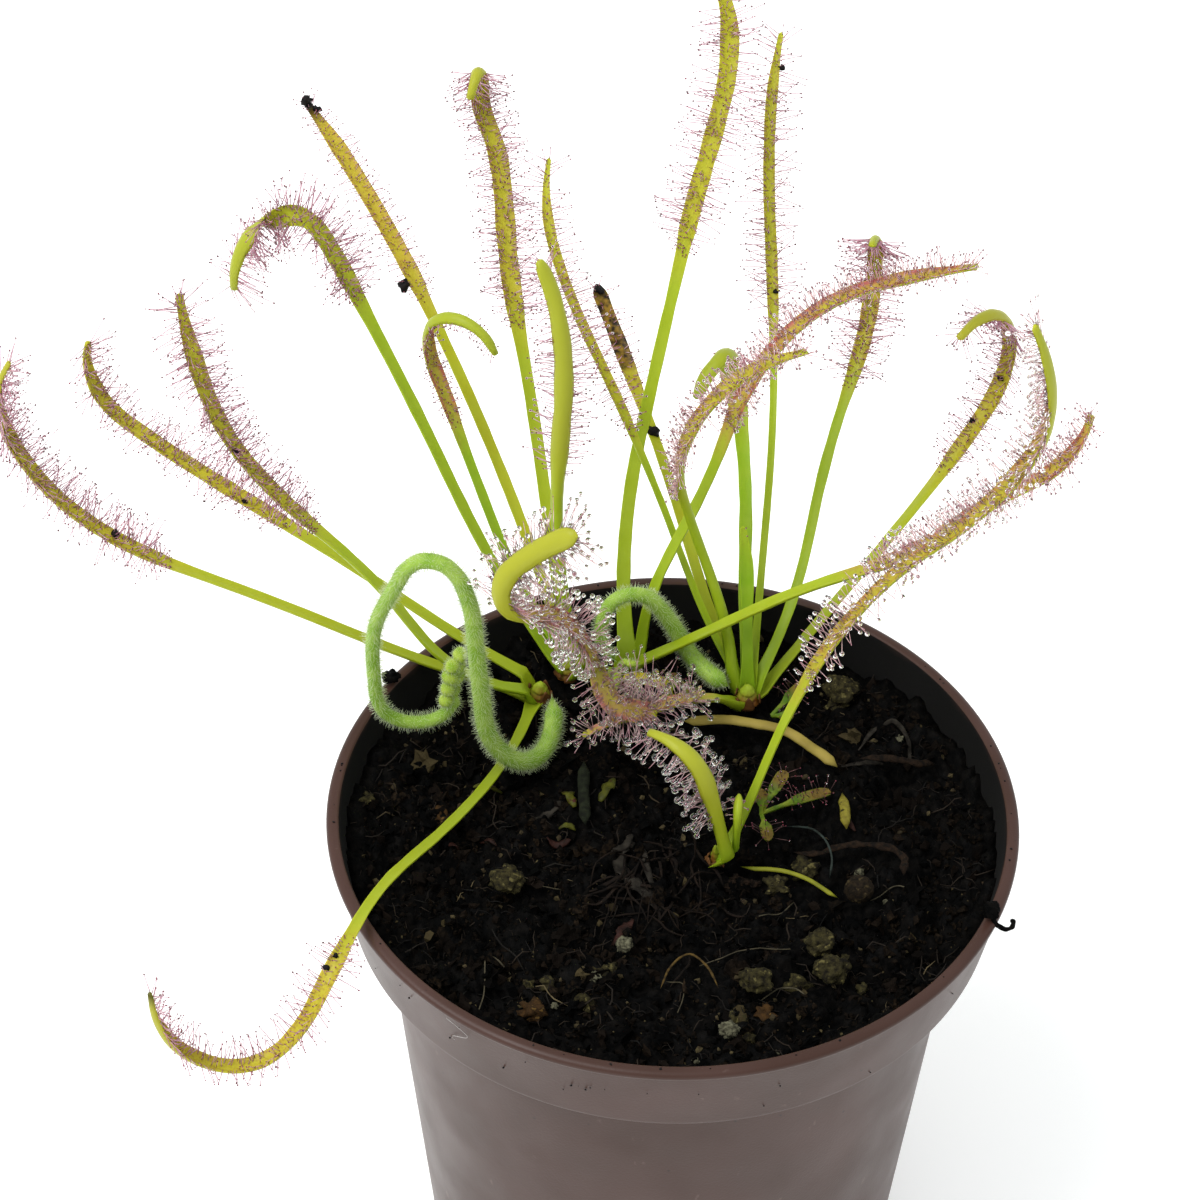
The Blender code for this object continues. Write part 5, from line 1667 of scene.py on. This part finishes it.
flake_red = litter_material("reddish_leaf_flake", ("301A14", "1C100C"), 0.6, 1.0, 0.1)
lay_strips("leaf_flakes", flake_red, (
    ([(-7.1, -17.6), (-5.7, -15.4), (-4.6, -13.8)], 1.5, 0.3),
    ([(-25.1, -0.3), (-24, -1.1), (-22.8, -2.0)], 0.8, 0.3),
    ([(-29.3, -1.4), (-28.4, -1.8), (-27.6, -2.0)], 0.8, 0.3),
    ([(-16.4, 0.4), (-14.8, -0.2), (-13.0, 0.8)], 1.1, 0.3),
    ([(24, 3), (22.8, 4.6), (22, 6.4)], 0.9, 0.3)), 0.16, 0.45, 4.1, 1.4, 0.7)

fibre_pale = litter_material("pale_root_fibre", ("4C4636", "2E2A20"), 0.6, 1.5, 0.02)
parts = []
for places, thick in (
        ([(-23.1, -21.3), (-19.9, -23.7)], 0.12), ([(-23.1, -24.2), (-23, -27.6), (-23.5, -30.8)], 0.1),
        ([(4.1, -20), (9.8, -19.2), (15.6, -19)], 0.08), ([(-20, -8), (-17, -9.5), (-14, -9)], 0.08),
        ([(12, -27), (15, -25.5), (17.5, -27)], 0.1), ([(0, -24), (2.2, -26.4), (1.5, -29)], 0.08),
        ([(26, -8), (28.5, -6.4), (31, -7)], 0.09), ([(16, -9), (14, -12), (11.5, -13.5)], 0.08)):
    line = laid(places, 0.45, 0.4, 6)
    parts.append(tube(line, [thick] * len(line)))
dress(gather(parts, "pale_fibres"), fibre_pale, "root")
print("flakes and fibres laid")

# %% More grit
amber_grit = litter_material("amber_pumice", ("3E2A12", "1E140A", "5A4420"), 0.85, 0.8, 0.2)


def grain(level, roughness, flatness, seed, size, centre, turn=0.0):
    """The points and faces of a small lump at a place in mm."""
    made = lump_mesh("grain", level, roughness, flatness, seed)
    turned = Euler((0, 0, turn)).to_matrix()
    points = [turned @ (vert.co / MM) * size + centre for vert in made.vertices]
    faces = [tuple(face.vertices) for face in made.polygons]
    bpy.data.meshes.remove(made)
    return points, faces


def lumps(places, name, finish, slot, seed):
    """Rough lumps half sunk in the soil. A place is its x, y and radius in mm."""
    parts = [grain(3, 1.1, 0.65, seed + i * 0.7, radius, Vector((x, y, soil_height(x, y) + radius * 0.1)),
                   i * 1.9) for i, (x, y, radius) in enumerate(places)]
    dress(gather(parts, name), finish, slot)


lumps([(-8, -23.6, 1.2), (-10.5, -28.5, 1.3), (-15, -26, 1.0), (-17.4, -24.6, 0.8), (-7, -22.6, 0.8),
       (-40.2, 4.6, 0.9), (22.3, -19.4, 0.9), (8.7, -31.4, 1.2), (10.4, -33.5, 1.0), (17.3, -2.6, 1.7),
       (13.7, -6.7, 1.3), (22, 26.9, 1.5), (16.6, -24.6, 1.6), (19.4, -21.0, 1.3), (24.6, -24, 1.0)],
      "pumice_lumps", pumice, "pumice", 3)
lumps([(-16.7, -30.5, 1.5), (-30.4, 3.2, 1.1), (-29.6, 2.0, 0.7), (12.6, -29.6, 1.3), (-12, -20, 0.7)],
      "amber_lumps", amber_grit, "pumice", 11)
lumps([(24.6, -3.2, 0.55), (7.5, -35, 0.5), (-14, -30, 0.4), (28, -9, 0.4), (-34, 14, 0.45), (1, -33, 0.35),
       (30, 20, 0.45), (-9.2, -24.8, 0.7), (4, -38, 0.4), (14, -36, 0.4)],
      "perlite_crumbs", perlite, "perlite", 23)
random.seed(4)
lumps([(random.gauss(9.0, 1.4), random.gauss(-5.0, 0.9), random.uniform(0.2, 0.55)) for _ in range(16)],
      "crown_debris", dead_leaf, "peat", 31)
print("grit placed")

# %% [markdown]
# ## Dirt on the leaves and the pot
#
# Gluey leaves hold what they caught: black grains of peat and the remains of gnats. The pot's
# collar has grains stuck to it where it was filled, and a thread of spider silk.

# %% Grains on the leaves and the pot
# The leaf, the share of its blade, the size of the grain and how far aside it sits, in mm.
CAUGHT = (
    ("leaf_back_left_old", 0.99, 0.75, 0), ("leaf_back_left_old", 0.95, 0.55, 0.6),
    ("leaf_back_left_old", 0.08, 0.8, -1.8), ("leaf_far_left", 0.20, 0.55, 0.6),
    ("leaf_left_raised", 0.40, 0.45, -0.5), ("leaf_left_low", 0.18, 0.4, 0.4),
    ("leaf_back_slender", 0.89, 0.45, 0.9), ("leaf_back_slender", 0.13, 0.4, 0.5),
    ("leaf_browned", -0.39, 0.8, 0.2), ("leaf_right_curled", 0.64, 0.5, -1.0),
    ("leaf_right_curled", 0.21, 0.45, 0.9), ("leaf_right_curled", 0.40, 0.45, 0.3),
    ("leaf_over_rim", 0.11, 0.45, 0.9), ("leaf_over_rim", 0.07, 0.35, 0.4), ("leaf_browned", 0.96, 0.5, 0.1),
)
black_grain = litter_material("caught_grain", ("0C0B0D", "1E1A18"), 0.5, 0.8, 0.1)
parts = []
for i, (leaf, share, size, aside) in enumerate(CAUGHT):
    upper, side, rise = strap_lines(leaf)[:3]
    far = distances(upper)
    k = int(np.argmin(np.abs((far - far[-1]) / LEAF_LOOKS[leaf][0] + 1 - share)))
    centre = Vector(upper[k] + rise[k] * size * 0.4 + side[k] * aside)
    parts.append(grain(2, 1.0, 0.85, 40 + i, size, centre))
dress(gather(parts, "grains_on_leaves"), black_grain, "peat")

random.seed(12)
parts = []
ON_COLLAR = [(-10.5, 74.6), (-9.6, 74.1), (-9.0, 74.8), (-7.2, 75.0), (-11.4, 74.3), (-20, 73.0)]
ON_COLLAR += [(random.uniform(-38, 38), random.uniform(69, 78.5)) for _ in range(12)]
for i, (x, z) in enumerate(ON_COLLAR):
    size = random.uniform(0.07, 0.17)
    centre = Vector((x, -math.sqrt(collar_radius(z) ** 2 - x * x), z))
    parts.append(grain(1, 0.4, 0.8, 60 + i, size, centre))
LIP_MIDDLE = 44.0
for i in range(40):
    turn = random.uniform(0, math.tau)
    centre = Vector((LIP_MIDDLE * math.cos(turn), LIP_MIDDLE * math.sin(turn), POT_HEIGHT + 0.02))
    parts.append(grain(1, 1.2, 0.7, 90 + i, random.uniform(0.08, 0.2), centre))
dress(gather(parts, "grains_on_pot"), black_grain, "peat")

silk, tree, shader = new_material("spider_silk", "A8A4A0", 0.4)
paint(tree, shader, mix(tree, noise_of(tree, 1.0, 2.0), "8A8480", "B8B4B0"))
SILK_TOP, SILK_DROP, SILK_TURN = 78.2, 4.6, math.atan2(-35.0, -27.0)
line = []
for t in np.linspace(0, 1, 14):
    z = SILK_TOP - SILK_DROP * t
    radius = collar_radius(z) + 0.08
    turn = SILK_TURN + 0.05 * math.sin(5 * t) + 0.06 * t
    line.append((radius * math.cos(turn), radius * math.sin(turn), z))
dress(gather([tube(line, [0.04] * len(line))], "silk_thread"), silk, "peat")
print("grains placed")

# %% [markdown]
# ## Finish
#
# The small models that were copied are removed, and the box of the dressed piece is kept beside
# that of the solid, so that the two can be compared.

# %% Tidy up, measure and finish
for made in list(bpy.data.objects):
    if "_model" in made.name:
        bpy.data.objects.remove(made)
everything = [made for made in bpy.data.objects if made.type == "MESH" and made not in nodes.values()]
print("all pieces together:", sum(triangles(made.data) for made in everything), "triangles")
sizes = [[list(corner) for corner in box] for box in (cad_box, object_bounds())]
for box in sizes:
    print([[round(value / MM, 1) for value in corner] for corner in box])
